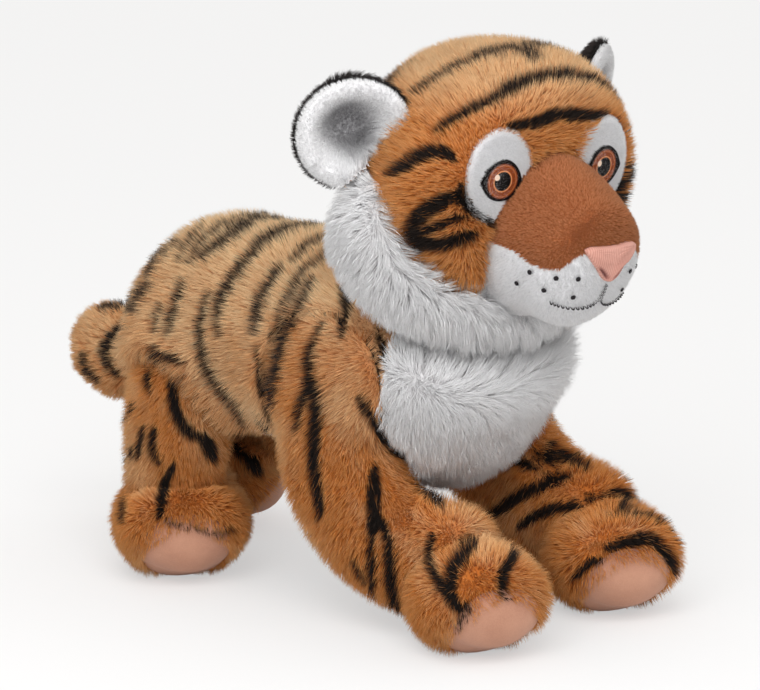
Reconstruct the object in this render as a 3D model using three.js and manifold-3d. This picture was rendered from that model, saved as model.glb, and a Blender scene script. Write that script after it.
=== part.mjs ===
// A plush tiger cub that stands on four stuffed legs, its forelegs stretched forward.
// Millimetres. +X points where the chest faces, +Y to the tiger's left, +Z up.
// The origin is on the floor, under the middle of the whole toy. The turned head and ears reach
// further to the left, so the toy's own middle plane lies a little to the right of it.
import * as THREE from 'three';
import { mergeVertices } from 'three/addons/utils/BufferGeometryUtils.js';
import Module from 'manifold-3d';

const wasm = await Module();
wasm.setup();

// Driving dimensions of the whole toy.
const torsoLength = 228;
const torsoWidth = 124;
const torsoHeight = 102;
const bellyHeight = 75;
const rumpX = -122.7;
const middlePlaneY = -4.2;
const coatWall = 5;
const clearance = 0.35;
const floorCut = 0.5;

// The neck: a stuffed ball on which the head nods and turns.
const neckRadius = 36;
const neckSetback = 53;
const neckDrop = 17;
const neckLean = 30;
const nodGap = 10;
const headTurned = -7.5;

// The head, measured without its muzzle and ruff.
const headLength = 112;
const headWidth = 148;
const headHeight = 132;
const headReach = 30;
const headRise = 65;

// The muzzle and what is sewn on the face.
const muzzleLength = 36;
const muzzleWidth = 72;
const muzzleHeight = 88;
const muzzleDrop = 26.5;
const noseWidth = 34;
const noseHeight = 18.5;
const noseRaise = 2.5;
const eyePatchWidth = 34;
const eyePatchHeight = 45;
const eyePatchRaise = 1.8;
const eyeWidth = 24;
const eyeHeight = 20;
const eyeRaise = 1;
const eyeAbove = 11;

// The white ruff from ear to ear under the jaw.
const ruffWidth = 46;
const ruffDepth = 15;

// The cupped ears.
const earRadius = 31;
const earDepth = 9;
const earBackWall = 4;
const earLiningWall = 5;
const earRootRadius = 5.5;
const earRootLength = 36;
const earStandOff = 16;
const earSetback = 11;
const earUp = 15.5;
const earTrim = 4;

// The legs and paws, the same all round but for their reach.
const legSeat = 34;
const legShoulder = 49;
const hubRadius = 33;
const legWidth = 50;
const legDepth = 60;
const legSwing = 12;
const rootOpening = 40;
const pawLength = 76;
const pawWidth = 66;
const pawHeight = 58;
const ankleHeight = 37;
const padWidth = 50;
const padLength = 50;
const padRaise = 1.2;
const padTilt = 50;

// The tail, a short teardrop.
const tailLength = 66;
const tailWidth = 36;
const tailHeight = 44;
const tailRootRadius = 12;
const tailDrop = 31;
const tailSet = 10;
const tailWag = 25;

// How finely each kind of form is faceted: sides round it, rings along it, rings in each dome.
const bodyGrain = { sides: 20, rings: 9, caps: 4 };
const limbGrain = { sides: 12, rings: 6, caps: 3 };
const pawGrain = { sides: 12, rings: 3, caps: 3 };
const smallGrain = { sides: 16, rings: 4, caps: 3 };
const ruffGrain = { sides: 8, rings: 16, caps: 2 };
const innerGrain = { sides: 10, rings: 4, caps: 2 };
const innerLimbGrain = { sides: 8, rings: 3, caps: 2 };
const ballGrain = { sides: 24, rings: 14 };
const innerBallGrain = { sides: 12, rings: 8 };
const arcSteps = 10;
const postSides = 16;
const earSides = 18;
const earRings = 3;
const noseSteps = 3;

// Shares of the sizes above. Torso rows: along, rise, half width, half height.
const torsoShares = [
  [0.19, 0.0, 0.46, 0.49],
  [0.36, 0.01, 0.48, 0.49],
  [0.52, -0.01, 0.47, 0.48],
  [0.7, -0.04, 0.49, 0.53],
  [0.85, -0.08, 0.46, 0.5],
];
const torsoDomeShares = [0.19, 0.15];
// Head rows: along, rise, half width, half height.
const headShares = [
  [0.24, -0.03, 0.38, 0.4],
  [0.44, 0.0, 0.48, 0.48],
  [0.66, 0.01, 0.5, 0.49],
  [0.84, -0.01, 0.43, 0.42],
];
const headDomeShares = [0.24, 0.1];
// Muzzle rows: along, rise, half width, half height.
const muzzleShares = [
  [-0.9, 0.06, 0.48, 0.5],
  [-0.2, 0.04, 0.51, 0.47],
  [0.42, -0.05, 0.46, 0.4],
];
const muzzleDomeShares = [0.1, 0.55];
const muzzleSplitShare = 0.04;
// Leg rows: down from hip to ankle, half width, half depth.
const legShares = [
  [0, 0.47, 0.5],
  [0.35, 0.5, 0.52],
  [0.7, 0.52, 0.47],
  [1, 0.56, 0.44],
];
const legDomeShares = [0.5, 0.3];
// Paw rows: along from the middle, height of the middle, half width, half height.
const pawShares = [
  [-0.28, 0.4, 0.4, 0.4],
  [0.0, 0.48, 0.5, 0.48],
  [0.24, 0.54, 0.48, 0.39],
];
const pawDomeShares = [0.22, 0.26];
const padSetShare = 0.1;
const padStartShare = 0.07;
// Tail rows: along, rise, half width, half height.
const tailShares = [
  [0.18, 0.01, 0.34, 0.3],
  [0.36, 0.02, 0.4, 0.4],
  [0.62, -0.02, 0.5, 0.5],
  [0.8, 0.02, 0.46, 0.46],
];
const tailTipShare = 0.2;
// Ruff rows: across, height and forward place on the head, then its width and depth.
const ruffShares = [
  [0.44, 0.0, -0.08, 0.3, 0.6],
  [0.5, -0.18, -0.06, 0.46, 0.95],
  [0.4, -0.36, 0.0, 0.5, 1],
  [0.2, -0.46, 0.1, 0.46, 0.95],
  [0, -0.49, 0.14, 0.42, 0.9],
];
const ruffDomeShare = 0.5;
// The bib: outline of the white chest seen from the front, right half, from the throat down.
const bibShares = [
  [0.6, 0.62],
  [0.6, 0.1],
  [0.5, -0.16],
  [0.3, -0.34],
  [0.2, -0.6],
];
const bibReachShare = 0.38;
const bellyWidthShare = 0.2;
const bellyStartShare = 0.3;
const earCupWay = [0.8, 0.5, -0.16];
const earCupShare = 0.455;
const earRimShare = 0.9;
const worldShare = 3;
const liningTopShare = 0.5;
const noseCornerShare = 0.18;
const noseDropShare = -0.024;
const padReachShare = 0.9;
const eyeSpacingShare = 0.486;
const eyeSplayShare = 0.14;

// Places that follow from the sizes.
const X = new THREE.Vector3(1, 0, 0);
const Y = new THREE.Vector3(0, 1, 0);
const Z = new THREE.Vector3(0, 0, 1);
const at = (x, y, z) => new THREE.Vector3(x, y, z);
const radians = THREE.MathUtils.degToRad;
const farOut = torsoLength * worldShare;
const chestX = rumpX + torsoLength;
const torsoMiddle = bellyHeight + torsoHeight / 2;
const neckPivot = at(chestX - neckSetback, 0, bellyHeight + torsoHeight - neckDrop);
const neckAxis = at(Math.sin(radians(neckLean)), 0, Math.cos(radians(neckLean)));
const headMiddle = neckPivot.clone().add(at(headReach, 0, headRise));
const headBack = headMiddle.x - headLength / 2;
const faceX = headBack + headLength;
const eyeSpacing = eyeSpacingShare * headWidth;

// Legs. The hip and the knee lie at shares of the torso's length, and of the height over the belly
// or under it. The paw's middle lies at a share of the torso's length; its toes point by degrees.
const foreleg = {
  name: 'foreleg',
  hipShares: [0.658, 0.412],
  kneeShares: [0.675, 0.48],
  outShare: 1,
  ankleBackShare: 0.28,
  besideShare: 0.843,
  girthShare: 1.08,
};
const hindleg = {
  name: 'hindleg',
  hipShares: [0.196, 0.2],
  kneeShares: [0.19, 0.88],
  outShare: 0.82,
  ankleBackShare: 0.1,
  besideShare: 0.48,
  girthShare: 0.92,
};
const legs = [
  { ...foreleg, side: -1, pawShare: 1.056, toes: -26 },
  { ...foreleg, side: 1, kneeShares: [0.78, 0.55], pawShare: 1.08, toes: -30 },
  { ...hindleg, side: -1, pawShare: 0.187, toes: -42 },
  { ...hindleg, side: 1, pawShare: -0.02, toes: 30 },
];

// Solids: closed meshes that can be joined and cut.
function solid(geometry) {
  const shape = geometry.index && !geometry.attributes.normal ? geometry : weld(geometry);
  const corners = shape.attributes.position;
  const faces = withoutSlivers(shape.index.array);
  if (signedVolume(corners, faces) < 0) {
    for (let i = 0; i < faces.length; i += 3) {
      [faces[i], faces[i + 1]] = [faces[i + 1], faces[i]];
    }
  }
  return new wasm.Manifold(
    new wasm.Mesh({
      numProp: 3,
      vertProperties: new Float32Array(corners.array),
      triVerts: new Uint32Array(faces),
    }),
  );
}

function weld(geometry) {
  const copy = geometry.clone();
  copy.deleteAttribute('normal');
  copy.deleteAttribute('uv');
  return mergeVertices(copy);
}

function withoutSlivers(index) {
  const kept = [];
  for (let i = 0; i < index.length; i += 3) {
    const [a, b, c] = [index[i], index[i + 1], index[i + 2]];
    if (a !== b && b !== c && a !== c) {
      kept.push(a, b, c);
    }
  }
  return kept;
}

function signedVolume(corners, faces) {
  const [a, b, c] = [at(0, 0, 0), at(0, 0, 0), at(0, 0, 0)];
  let sum = 0;
  for (let i = 0; i < faces.length; i += 3) {
    a.fromBufferAttribute(corners, faces[i]);
    b.fromBufferAttribute(corners, faces[i + 1]);
    c.fromBufferAttribute(corners, faces[i + 2]);
    sum += a.dot(b.cross(c));
  }
  return sum;
}

function toGeometry(body) {
  const mesh = body.getMesh();
  const geometry = new THREE.BufferGeometry();
  geometry.setAttribute('position', new THREE.BufferAttribute(mesh.vertProperties, 3));
  geometry.setIndex(new THREE.BufferAttribute(mesh.triVerts, 1));
  geometry.computeVertexNormals();
  return geometry;
}

// A stuffed form: oval rings strung along a smooth spine, with a domed end each way. The start
// share turns the rings: at a half, a facet instead of a corner lies underneath.
function swell({ rows, domes, grain, grow = 0, across = Y, startShare = 0 }) {
  const { sides, rings, caps } = grain;
  const spine = new THREE.CatmullRomCurve3(rows.map((row) => row.at));
  const girth = new THREE.CatmullRomCurve3(rows.map((row) => at(row.wide, row.deep, 0)));
  const stops = [];
  for (let k = caps - 1; k > 0; k -= 1) {
    stops.push({ t: 0, turn: (k / caps) * (Math.PI / 2), way: -1, dome: domes[0] });
  }
  for (let k = 0; k <= rings; k += 1) {
    stops.push({ t: k / rings, turn: 0, way: 0, dome: 0 });
  }
  for (let k = 1; k < caps; k += 1) {
    stops.push({ t: 1, turn: (k / caps) * (Math.PI / 2), way: 1, dome: domes[1] });
  }
  const corners = [];
  const tip = (t, way, dome) => {
    const end = spine.getPoint(t).addScaledVector(spine.getTangent(t), way * (dome + grow));
    corners.push(end.x, end.y, end.z);
  };
  tip(0, -1, domes[0]);
  for (const { t, turn, way, dome } of stops) {
    const along = spine.getTangent(t);
    const size = girth.getPoint(t);
    const middle = spine.getPoint(t).addScaledVector(along, way * (dome + grow) * Math.sin(turn));
    const wideWay = across.clone().addScaledVector(along, -across.dot(along)).normalize();
    const deepWay = wideWay.clone().cross(along);
    for (let k = 0; k < sides; k += 1) {
      const angle = ((k + startShare) / sides) * 2 * Math.PI;
      const corner = middle.clone();
      corner.addScaledVector(wideWay, (size.x + grow) * Math.cos(turn) * Math.cos(angle));
      corner.addScaledVector(deepWay, (size.y + grow) * Math.cos(turn) * Math.sin(angle));
      corners.push(corner.x, corner.y, corner.z);
    }
  }
  tip(1, 1, domes[1]);
  const faces = [];
  const last = stops.length * sides + 1;
  for (let k = 0; k < sides; k += 1) {
    const next = (k + 1) % sides;
    faces.push(0, 1 + next, 1 + k);
    faces.push(last, last - sides + k, last - sides + next);
    for (let j = 0; j < stops.length - 1; j += 1) {
      const [low, high] = [1 + j * sides, 1 + (j + 1) * sides];
      faces.push(low + k, low + next, high + next, low + k, high + next, high + k);
    }
  }
  const geometry = new THREE.BufferGeometry();
  geometry.setAttribute('position', new THREE.Float32BufferAttribute(corners, 3));
  geometry.setIndex(faces);
  return solid(geometry);
}

// A ball, and the socket that clears it however the two turn in each other.
function ball(middle, radius, grain = ballGrain) {
  const geometry = new THREE.SphereGeometry(radius, grain.sides, grain.rings);
  return solid(geometry.translate(middle.x, middle.y, middle.z));
}

function socket(middle, radius) {
  const flats = Math.cos(Math.PI / ballGrain.sides) * Math.cos(Math.PI / (2 * ballGrain.rings));
  return ball(middle, (radius + clearance) / flats);
}

// Everything on the far side of a plane from where its normal points.
function behind(point, normal) {
  const geometry = new THREE.BoxGeometry(farOut, farOut, farOut).translate(0, 0, -farOut / 2);
  geometry.applyQuaternion(new THREE.Quaternion().setFromUnitVectors(Z, normal));
  return solid(geometry.translate(point.x, point.y, point.z));
}

// An oval post from a point along a direction, to cut a patch out of a skin.
function post(from, way, width, height, reach) {
  const geometry = new THREE.CylinderGeometry(1, 1, reach, postSides).translate(0, reach / 2, 0);
  geometry.scale(width / 2, 1, height / 2);
  const side = Z.clone().cross(way).normalize();
  const up = way.clone().cross(side);
  geometry.applyMatrix4(new THREE.Matrix4().makeBasis(side, way, up));
  return solid(geometry.translate(from.x, from.y, from.z));
}

// The room that a limb needs to swing: its round root, and its shaft at every angle between.
// The outline lies in the plane square to the hinge, with the shaft along the given direction.
function swingRoom({ pivot, hinge, shaft, radius, swing, from, to }) {
  const turn = radians(swing);
  const rim = (radius + clearance) / Math.cos(Math.PI / (2 * arcSteps));
  const shape = new THREE.Shape();
  const corner = (angle, reach, lean) => [
    rim * Math.cos(angle) + reach * Math.cos(lean),
    rim * Math.sin(angle) + reach * Math.sin(lean),
  ];
  const quarter = Math.PI / 2;
  shape.moveTo(...corner(quarter + turn, farOut, turn));
  shape.lineTo(...corner(quarter + turn, 0, 0));
  shape.absarc(0, 0, rim, quarter + turn, 3 * quarter - turn, false);
  shape.lineTo(...corner(3 * quarter - turn, farOut, -turn));
  shape.closePath();
  const geometry = new THREE.ExtrudeGeometry(shape, {
    depth: to - from,
    bevelEnabled: false,
    curveSegments: arcSteps,
  });
  geometry.translate(0, 0, from);
  geometry.applyMatrix4(new THREE.Matrix4().makeBasis(shaft, hinge.clone().cross(shaft), hinge));
  return solid(geometry.translate(pivot.x, pivot.y, pivot.z));
}

// The torso.
function torsoForm(grow, grain = bodyGrain) {
  const rows = torsoShares.map(([along, rise, wide, deep]) => ({
    at: at(rumpX + along * torsoLength, 0, torsoMiddle + rise * torsoHeight),
    wide: wide * torsoWidth,
    deep: deep * torsoHeight,
  }));
  const domes = torsoDomeShares.map((share) => share * torsoLength);
  return swell({ rows, domes, grain, grow });
}

// Everything above the torso's collar, or below the head's underside, square to the neck's axis.
function aboveCollar(gap) {
  const collar = neckPivot.clone().addScaledVector(neckAxis, -nodGap / 2 - gap);
  return behind(collar, neckAxis.clone().negate());
}

function underHead(gap) {
  const underside = neckPivot.clone().addScaledVector(neckAxis, nodGap / 2 + gap);
  return behind(underside, neckAxis);
}

// What the legs and the tail take out of it.
function limbRoom(gap) {
  const rooms = legs.map((leg) => legRoom(leg, gap));
  const tail = swingRoom({
    pivot: tailPivot(),
    hinge: Z,
    shaft: X.clone().negate(),
    radius: tailRootRadius + gap,
    swing: tailWag,
    from: -tailHeight / 2 - gap,
    to: tailHeight / 2 + gap,
  });
  return rooms.reduce((all, room) => all.add(room), tail);
}

// The outline of the white bib and belly strip, as a block from the chest back.
function bibBlock(grow) {
  const points = bibShares.map(([wide, rise]) => [
    wide * torsoWidth + grow,
    torsoMiddle + rise * torsoHeight,
  ]);
  const shape = new THREE.Shape();
  const [first, ...rest] = points;
  shape.moveTo(...first);
  rest.forEach((point) => shape.lineTo(...point));
  rest.reverse().forEach(([wide, rise]) => shape.lineTo(-wide, rise));
  shape.lineTo(-first[0], first[1]);
  shape.closePath();
  const back = chestX - bibReachShare * torsoHeight - grow;
  const front = new THREE.ExtrudeGeometry(shape, { depth: farOut, bevelEnabled: false });
  front.applyMatrix4(new THREE.Matrix4().makeBasis(Y, Z, X)).translate(back, 0, 0);
  const stripLength = chestX - rumpX - bellyStartShare * torsoLength + grow;
  const stripWidth = 2 * (bellyWidthShare * torsoWidth + grow);
  const strip = new THREE.BoxGeometry(stripLength, stripWidth, torsoHeight);
  strip.translate(chestX - stripLength / 2, 0, bellyHeight - torsoHeight / 4);
  return solid(front).add(solid(strip));
}

function makeTorso() {
  const insideForm = (gap) => torsoForm(-coatWall - gap, innerGrain)
    .subtract(limbRoom(coatWall + gap))
    .subtract(aboveCollar(coatWall + gap));
  const skin = torsoForm(0)
    .subtract(limbRoom(0))
    .subtract(aboveCollar(0))
    .subtract(insideForm(0))
    .subtract(socket(neckPivot, neckRadius));
  return {
    torso_coat: skin.subtract(bibBlock(clearance)),
    chest_panel: skin.intersect(bibBlock(0)),
    torso_filling: insideForm(clearance).subtract(socket(neckPivot, neckRadius)),
  };
}

// The neck: a coat band round a stuffed ball.
function makeNeck() {
  const hollow = ball(neckPivot, neckRadius - coatWall, innerBallGrain);
  const filling = ball(neckPivot, neckRadius - coatWall - clearance, innerBallGrain);
  const band = neckPivot.clone().addScaledVector(neckAxis, nodGap);
  const under = neckPivot.clone().addScaledVector(neckAxis, -nodGap);
  const coat = ball(neckPivot, neckRadius)
    .subtract(hollow)
    .intersect(behind(band, neckAxis))
    .intersect(behind(under, neckAxis.clone().negate()));
  return { neck_coat: coat, neck_filling: filling };
}

// The head.
function headForm(grow, grain = bodyGrain) {
  const rows = headShares.map(([along, rise, wide, deep]) => ({
    at: at(headBack + along * headLength, 0, headMiddle.z + rise * headHeight),
    wide: wide * headWidth,
    deep: deep * headHeight,
  }));
  const domes = headDomeShares.map((share) => share * headLength);
  return swell({ rows, domes, grain, grow });
}

function muzzleForm(grow) {
  const rows = muzzleShares.map(([along, rise, wide, deep]) => ({
    at: at(faceX + along * muzzleLength, 0, headMiddle.z - muzzleDrop + rise * muzzleHeight),
    wide: wide * muzzleWidth,
    deep: deep * muzzleHeight,
  }));
  const domes = muzzleDomeShares.map((share) => share * muzzleLength);
  return swell({ rows, domes, grain: smallGrain, grow });
}

// Where an eye is, and the way that the face points there.
function eyeSeat(side) {
  const way = at(headLength / 2, side * eyeSplayShare * eyeSpacing, eyeAbove / 2).normalize();
  const from = headMiddle.clone().add(at(0, side * (1 / 2 - eyeSplayShare) * eyeSpacing, eyeAbove / 2));
  return { from, way };
}

function ruffForm(grow) {
  const right = ruffShares.map((row) => ({ side: -1, row }));
  const left = ruffShares.slice(0, -1).reverse().map((row) => ({ side: 1, row }));
  const rows = [...right, ...left].map(({ side, row: [across, rise, ahead, wide, deep] }) => ({
    at: headMiddle.clone().add(at(ahead * headLength, side * across * headWidth, rise * headHeight)),
    wide: wide * ruffWidth,
    deep: deep * ruffDepth,
  }));
  const domes = [ruffDomeShare * ruffDepth, ruffDomeShare * ruffDepth];
  return swell({ rows, domes, grain: ruffGrain, grow, across: X });
}

function noseBlock() {
  const corner = noseCornerShare * noseWidth;
  const [half, drop] = [noseWidth / 2, noseHeight];
  const shape = new THREE.Shape();
  shape.moveTo(-half + corner, 0);
  shape.lineTo(half - corner, 0);
  shape.quadraticCurveTo(half, 0, half - corner / 2, -corner);
  shape.lineTo(corner, -drop + corner / 2);
  shape.quadraticCurveTo(0, -drop - corner / 2, -corner, -drop + corner / 2);
  shape.lineTo(-half + corner / 2, -corner);
  shape.quadraticCurveTo(-half, 0, -half + corner, 0);
  const geometry = new THREE.ExtrudeGeometry(shape, {
    depth: 2 * muzzleLength,
    bevelEnabled: false,
    curveSegments: noseSteps,
  });
  geometry.applyMatrix4(new THREE.Matrix4().makeBasis(Y, Z, X));
  const top = headMiddle.z - muzzleDrop + noseDropShare * muzzleHeight + noseHeight / 2;
  return solid(geometry.translate(faceX, 0, top));
}

function makeHead() {
  const neckSocket = socket(neckPivot, neckRadius);
  const insideForm = (gap) => headForm(-coatWall - gap, innerGrain).subtract(underHead(coatWall + gap));
  const muzzle = muzzleForm(0);
  const split = at(faceX, 0, headMiddle.z - muzzleDrop + muzzleSplitShare * muzzleHeight);
  const nearHead = headForm(clearance);
  const nose = muzzleForm(noseRaise).intersect(noseBlock());
  const earRooms = earRoom(-1).add(earRoom(1));
  const noseSeat = muzzleForm(clearance);
  const bridge = muzzle.subtract(nearHead).subtract(behind(split, Z));
  const jaw = muzzle.subtract(nearHead).intersect(behind(split.clone().add(at(0, 0, -clearance)), Z));
  const pieces = {
    head_coat: headForm(0)
      .subtract(underHead(0))
      .subtract(insideForm(0))
      .subtract(neckSocket)
      .subtract(earRooms),
    head_filling: insideForm(clearance)
      .subtract(neckSocket)
      .subtract(earRoom(-1, clearance))
      .subtract(earRoom(1, clearance)),
    muzzle_bridge: bridge,
    lower_muzzle: jaw,
    nose: nose.subtract(noseSeat),
    cheek_ruff: ruffForm(0)
      .subtract(underHead(0))
      .subtract(nearHead)
      .subtract(muzzleForm(clearance))
      .subtract(neckSocket)
      .subtract(earRoom(-1, clearance))
      .subtract(earRoom(1, clearance)),
  };
  for (const [side, name] of [[-1, 'right'], [1, 'left']]) {
    const { from, way } = eyeSeat(side);
    const patchPost = post(from, way, eyePatchWidth, eyePatchHeight, headLength);
    const eyePost = post(from, way, eyeWidth, eyeHeight, headLength);
    const patch = headForm(eyePatchRaise).intersect(patchPost);
    const onPatch = headForm(eyePatchRaise + clearance);
    const eye = headForm(eyePatchRaise + clearance + eyeRaise).intersect(eyePost);
    pieces[`eye_patch_${name}`] = patch.subtract(nearHead).subtract(muzzleForm(clearance));
    pieces[`eye_${name}`] = eye.subtract(onPatch).subtract(muzzleForm(clearance));
  }
  return pieces;
}

// The ears: where the root lies on the head, and which way the cup opens.
function earSeat(side) {
  const cup = at(earCupWay[0], side * earCupWay[1], earCupWay[2]).normalize();
  const out = at(0, side, 1).projectOnPlane(cup).normalize();
  const root = out.clone().cross(cup).normalize();
  const middle = headMiddle.clone().add(at(-earSetback, 0, earUp));
  const onHead = middle.clone().add(at(0, side * headWidth * earCupShare, 0));
  return { root, cup, out, pivot: onHead };
}

function earRoom(side, gap = 0) {
  const { root, pivot } = earSeat(side);
  const length = earRootLength / 2 + clearance + gap;
  const radius = (earRootRadius + clearance + gap) / Math.cos(Math.PI / postSides);
  const room = new THREE.CylinderGeometry(radius, radius, 2 * length, postSides);
  room.applyQuaternion(new THREE.Quaternion().setFromUnitVectors(Y, root));
  return solid(room.translate(pivot.x, pivot.y, pivot.z));
}

function earLathe(profile, side) {
  const { cup, out, pivot } = earSeat(side);
  const geometry = new THREE.LatheGeometry(profile, earSides);
  const third = out.clone().cross(cup);
  geometry.applyMatrix4(new THREE.Matrix4().makeBasis(out, cup, third));
  const lift = earDepth * (1 - (earStandOff / earRadius) ** 2) + earBackWall / 2;
  const middle = pivot.clone().addScaledVector(out, earStandOff).addScaledVector(cup, lift);
  return solid(geometry.translate(middle.x, middle.y, middle.z));
}

function makeEar(side, name) {
  const cupLine = (radius) => -earDepth * (1 - (radius / earRadius) ** 2);
  const steps = earRings;
  const points = (lift, reach) => {
    const line = [];
    for (let k = 0; k <= steps; k += 1) {
      const radius = (k / steps) * reach;
      line.push(new THREE.Vector2(radius, cupLine(radius) + lift(k / steps)));
    }
    return line;
  };
  const rim = earRadius * earRimShare;
  const back = [...points(() => -earBackWall, earRadius), ...points(() => 0, earRadius).reverse()];
  const padded = (t) => earLiningWall * (liningTopShare + (1 - liningTopShare) * t * t);
  const lining = [...points(() => clearance, rim), ...points(padded, rim).reverse()];
  const { root, pivot, out } = earSeat(side);
  const rod = new THREE.CylinderGeometry(earRootRadius, earRootRadius, earRootLength, postSides);
  rod.applyQuaternion(new THREE.Quaternion().setFromUnitVectors(Y, root));
  const bead = solid(rod.translate(pivot.x, pivot.y, pivot.z));
  const offHead = headForm(earTrim);
  const rootSide = behind(pivot, out);
  const cupBody = earLathe(back, side).subtract(offHead).subtract(rootSide);
  const nearBead = earRoom(side);
  return {
    [`ear_back_${name}`]: cupBody.add(bead),
    [`ear_lining_${name}`]: earLathe(lining, side).subtract(offHead).subtract(rootSide).subtract(nearBead),
  };
}

// The legs: a round root that turns against the torso's side, a shaft, and a paw.
function legPlace(leg) {
  const along = (share) => rumpX + share * torsoLength;
  const [hipAlong, hipOver] = leg.hipShares;
  const [kneeAlong, kneeUnder] = leg.kneeShares;
  const y = leg.side * leg.outShare * legShoulder;
  const hip = at(along(hipAlong), y, bellyHeight + hipOver * torsoHeight);
  const knee = at(along(kneeAlong), y, kneeUnder * bellyHeight);
  const paw = at(along(leg.pawShare), y, 0);
  const toes = at(Math.cos(radians(leg.toes)), Math.sin(radians(leg.toes)), 0);
  const ankle = paw.clone().addScaledVector(toes, -leg.ankleBackShare * pawLength);
  return { hip, knee, toes, paw, ankle: ankle.add(at(0, 0, ankleHeight)) };
}

function legForm(leg, grow, shaftGrain = limbGrain, footGrain = pawGrain) {
  const { hip, knee, toes, paw, ankle } = legPlace(leg);
  const path = new THREE.QuadraticBezierCurve3(hip, knee, ankle);
  const shaftRows = legShares.map(([down, wide, deep]) => ({
    at: path.getPoint(down),
    wide: wide * legWidth,
    deep: deep * legDepth * leg.girthShare,
  }));
  const shaft = swell({
    rows: shaftRows,
    domes: legDomeShares.map((share) => share * legDepth * leg.girthShare),
    grain: shaftGrain,
    grow,
  });
  const flats = Math.cos(Math.PI / pawGrain.sides);
  const pawRows = pawShares.map(([along, rise, wide, deep]) => ({
    at: paw.clone()
      .addScaledVector(toes, along * pawLength)
      .add(at(0, 0, rise * pawHeight * flats - floorCut)),
    wide: wide * pawWidth,
    deep: deep * pawHeight,
  }));
  const foot = swell({
    rows: pawRows,
    domes: pawDomeShares.map((share) => share * pawLength),
    grain: footGrain,
    grow,
    across: Z.clone().cross(toes),
    startShare: 1 / 2,
  });
  return shaft.add(foot);
}

// The room a leg takes: beside the torso near the hip, and freely further out.
function legRoom(leg, gap) {
  const { hip, knee, ankle } = legPlace(leg);
  const upper = knee.clone().sub(hip).setY(0).normalize();
  const whole = ankle.clone().sub(hip).setY(0).normalize();
  const shaft = upper.clone().add(whole).normalize();
  return swingRoom({
    pivot: at(hip.x, 0, hip.z),
    hinge: at(0, leg.side, 0),
    shaft,
    radius: hubRadius + gap,
    swing: legSwing + THREE.MathUtils.radToDeg(upper.angleTo(whole)) / 2,
    from: legSeat - clearance - gap,
    to: farOut,
  });
}

// The disc of torso that lies beside the leg's root, where the leg has to stay clear of it.
function besideTorso(leg, gap = 0) {
  const { hip } = legPlace(leg);
  const radius = leg.besideShare * torsoHeight + gap;
  const geometry = new THREE.CylinderGeometry(radius, radius, 2 * (legSeat + gap), bodyGrain.sides);
  return solid(geometry.translate(hip.x, 0, hip.z));
}

// What fills the leg's coat: it comes to the surface only in the sewn opening at the root.
function legInside(leg, gap = 0) {
  const { hip } = legPlace(leg);
  const form = legForm(leg, -coatWall - gap, innerLimbGrain, innerLimbGrain);
  const radius = rootOpening / 2 - gap;
  const opening = new THREE.CylinderGeometry(radius, radius, 2 * leg.besideShare * torsoHeight, postSides);
  const plug = form.intersect(solid(opening.translate(hip.x, 0, hip.z)));
  return form.subtract(besideTorso(leg, coatWall + gap)).add(plug);
}

function padSeat(leg) {
  const { toes, paw } = legPlace(leg);
  const way = toes.clone().multiplyScalar(Math.sin(radians(padTilt)));
  way.add(at(0, 0, -Math.cos(radians(padTilt))));
  const from = paw.clone().addScaledVector(toes, padSetShare * pawLength).add(at(0, 0, pawHeight / 2));
  return { from: from.addScaledVector(way, padStartShare * pawHeight), way };
}

function makeLeg(leg) {
  const name = `${leg.name}_`;
  const side = leg.side < 0 ? '_right' : '_left';
  const floor = behind(at(0, 0, 0), Z);
  const beside = besideTorso(leg);
  const { from, way } = padSeat(leg);
  const reach = padReachShare * pawHeight;
  const padPost = post(from, way, padWidth, padLength, reach);
  const padHole = post(from, way, padWidth + 2 * clearance, padLength + 2 * clearance, reach);
  const trim = (body) => body.subtract(beside).subtract(floor);
  const inside = legInside(leg);
  return {
    [`${name}coat${side}`]: trim(legForm(leg, 0)).subtract(inside).subtract(padHole),
    [`${name}pad${side}`]: trim(legForm(leg, padRaise).intersect(padPost)).subtract(inside),
    [`${name}filling${side}`]: trim(legInside(leg, clearance)),
  };
}

// The tail hangs from a round root in the rump.
function tailPivot() {
  return at(rumpX + tailSet, 0, torsoMiddle - tailDrop);
}

function tailForm(grow, grain = limbGrain) {
  const pivot = tailPivot();
  const root = { at: pivot, wide: tailRootRadius, deep: tailRootRadius };
  const rows = tailShares.map(([along, rise, wide, deep]) => ({
    at: pivot.clone().add(at(-along * tailLength, 0, rise * tailHeight)),
    wide: wide * tailWidth,
    deep: deep * tailHeight,
  }));
  const domes = [tailRootRadius, tailTipShare * tailLength];
  return swell({ rows: [root, ...rows], domes, grain, grow });
}

function makeTail() {
  const open = behind(tailPivot().add(at(tailRootRadius / 2, 0, 0)), X);
  const hollow = tailForm(-coatWall, innerLimbGrain);
  return {
    tail_coat: tailForm(0).subtract(hollow).intersect(open),
    tail_filling: tailForm(-coatWall - clearance, innerLimbGrain).intersect(open),
  };
}

// Finishes: the colour of each kind of plush, and how it takes light.
const finishes = {
  coat: [0xd08a4a, 0.95],
  white: [0xe6e6ea, 0.95],
  black: [0x2a2625, 0.95],
  nap: [0xb96a3c, 0.9],
  pink: [0xd9a08c, 0.85],
  eye: [0x8a4620, 0.5],
  filling: [0xf2f1ec, 1],
};

const finishOf = {
  chest_panel: 'white',
  muzzle_bridge: 'nap',
  lower_muzzle: 'white',
  nose: 'pink',
  cheek_ruff: 'white',
  neck_coat: 'white',
};

function finishFor(name) {
  const kinds = [
    ['filling', 'filling'],
    ['lining', 'white'],
    ['ear_back', 'black'],
    ['eye_patch', 'white'],
    ['eye', 'eye'],
    ['pad', 'pink'],
  ];
  const kind = kinds.find(([part]) => name.includes(part));
  return finishOf[name] ?? (kind ? kind[1] : 'coat');
}

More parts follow.
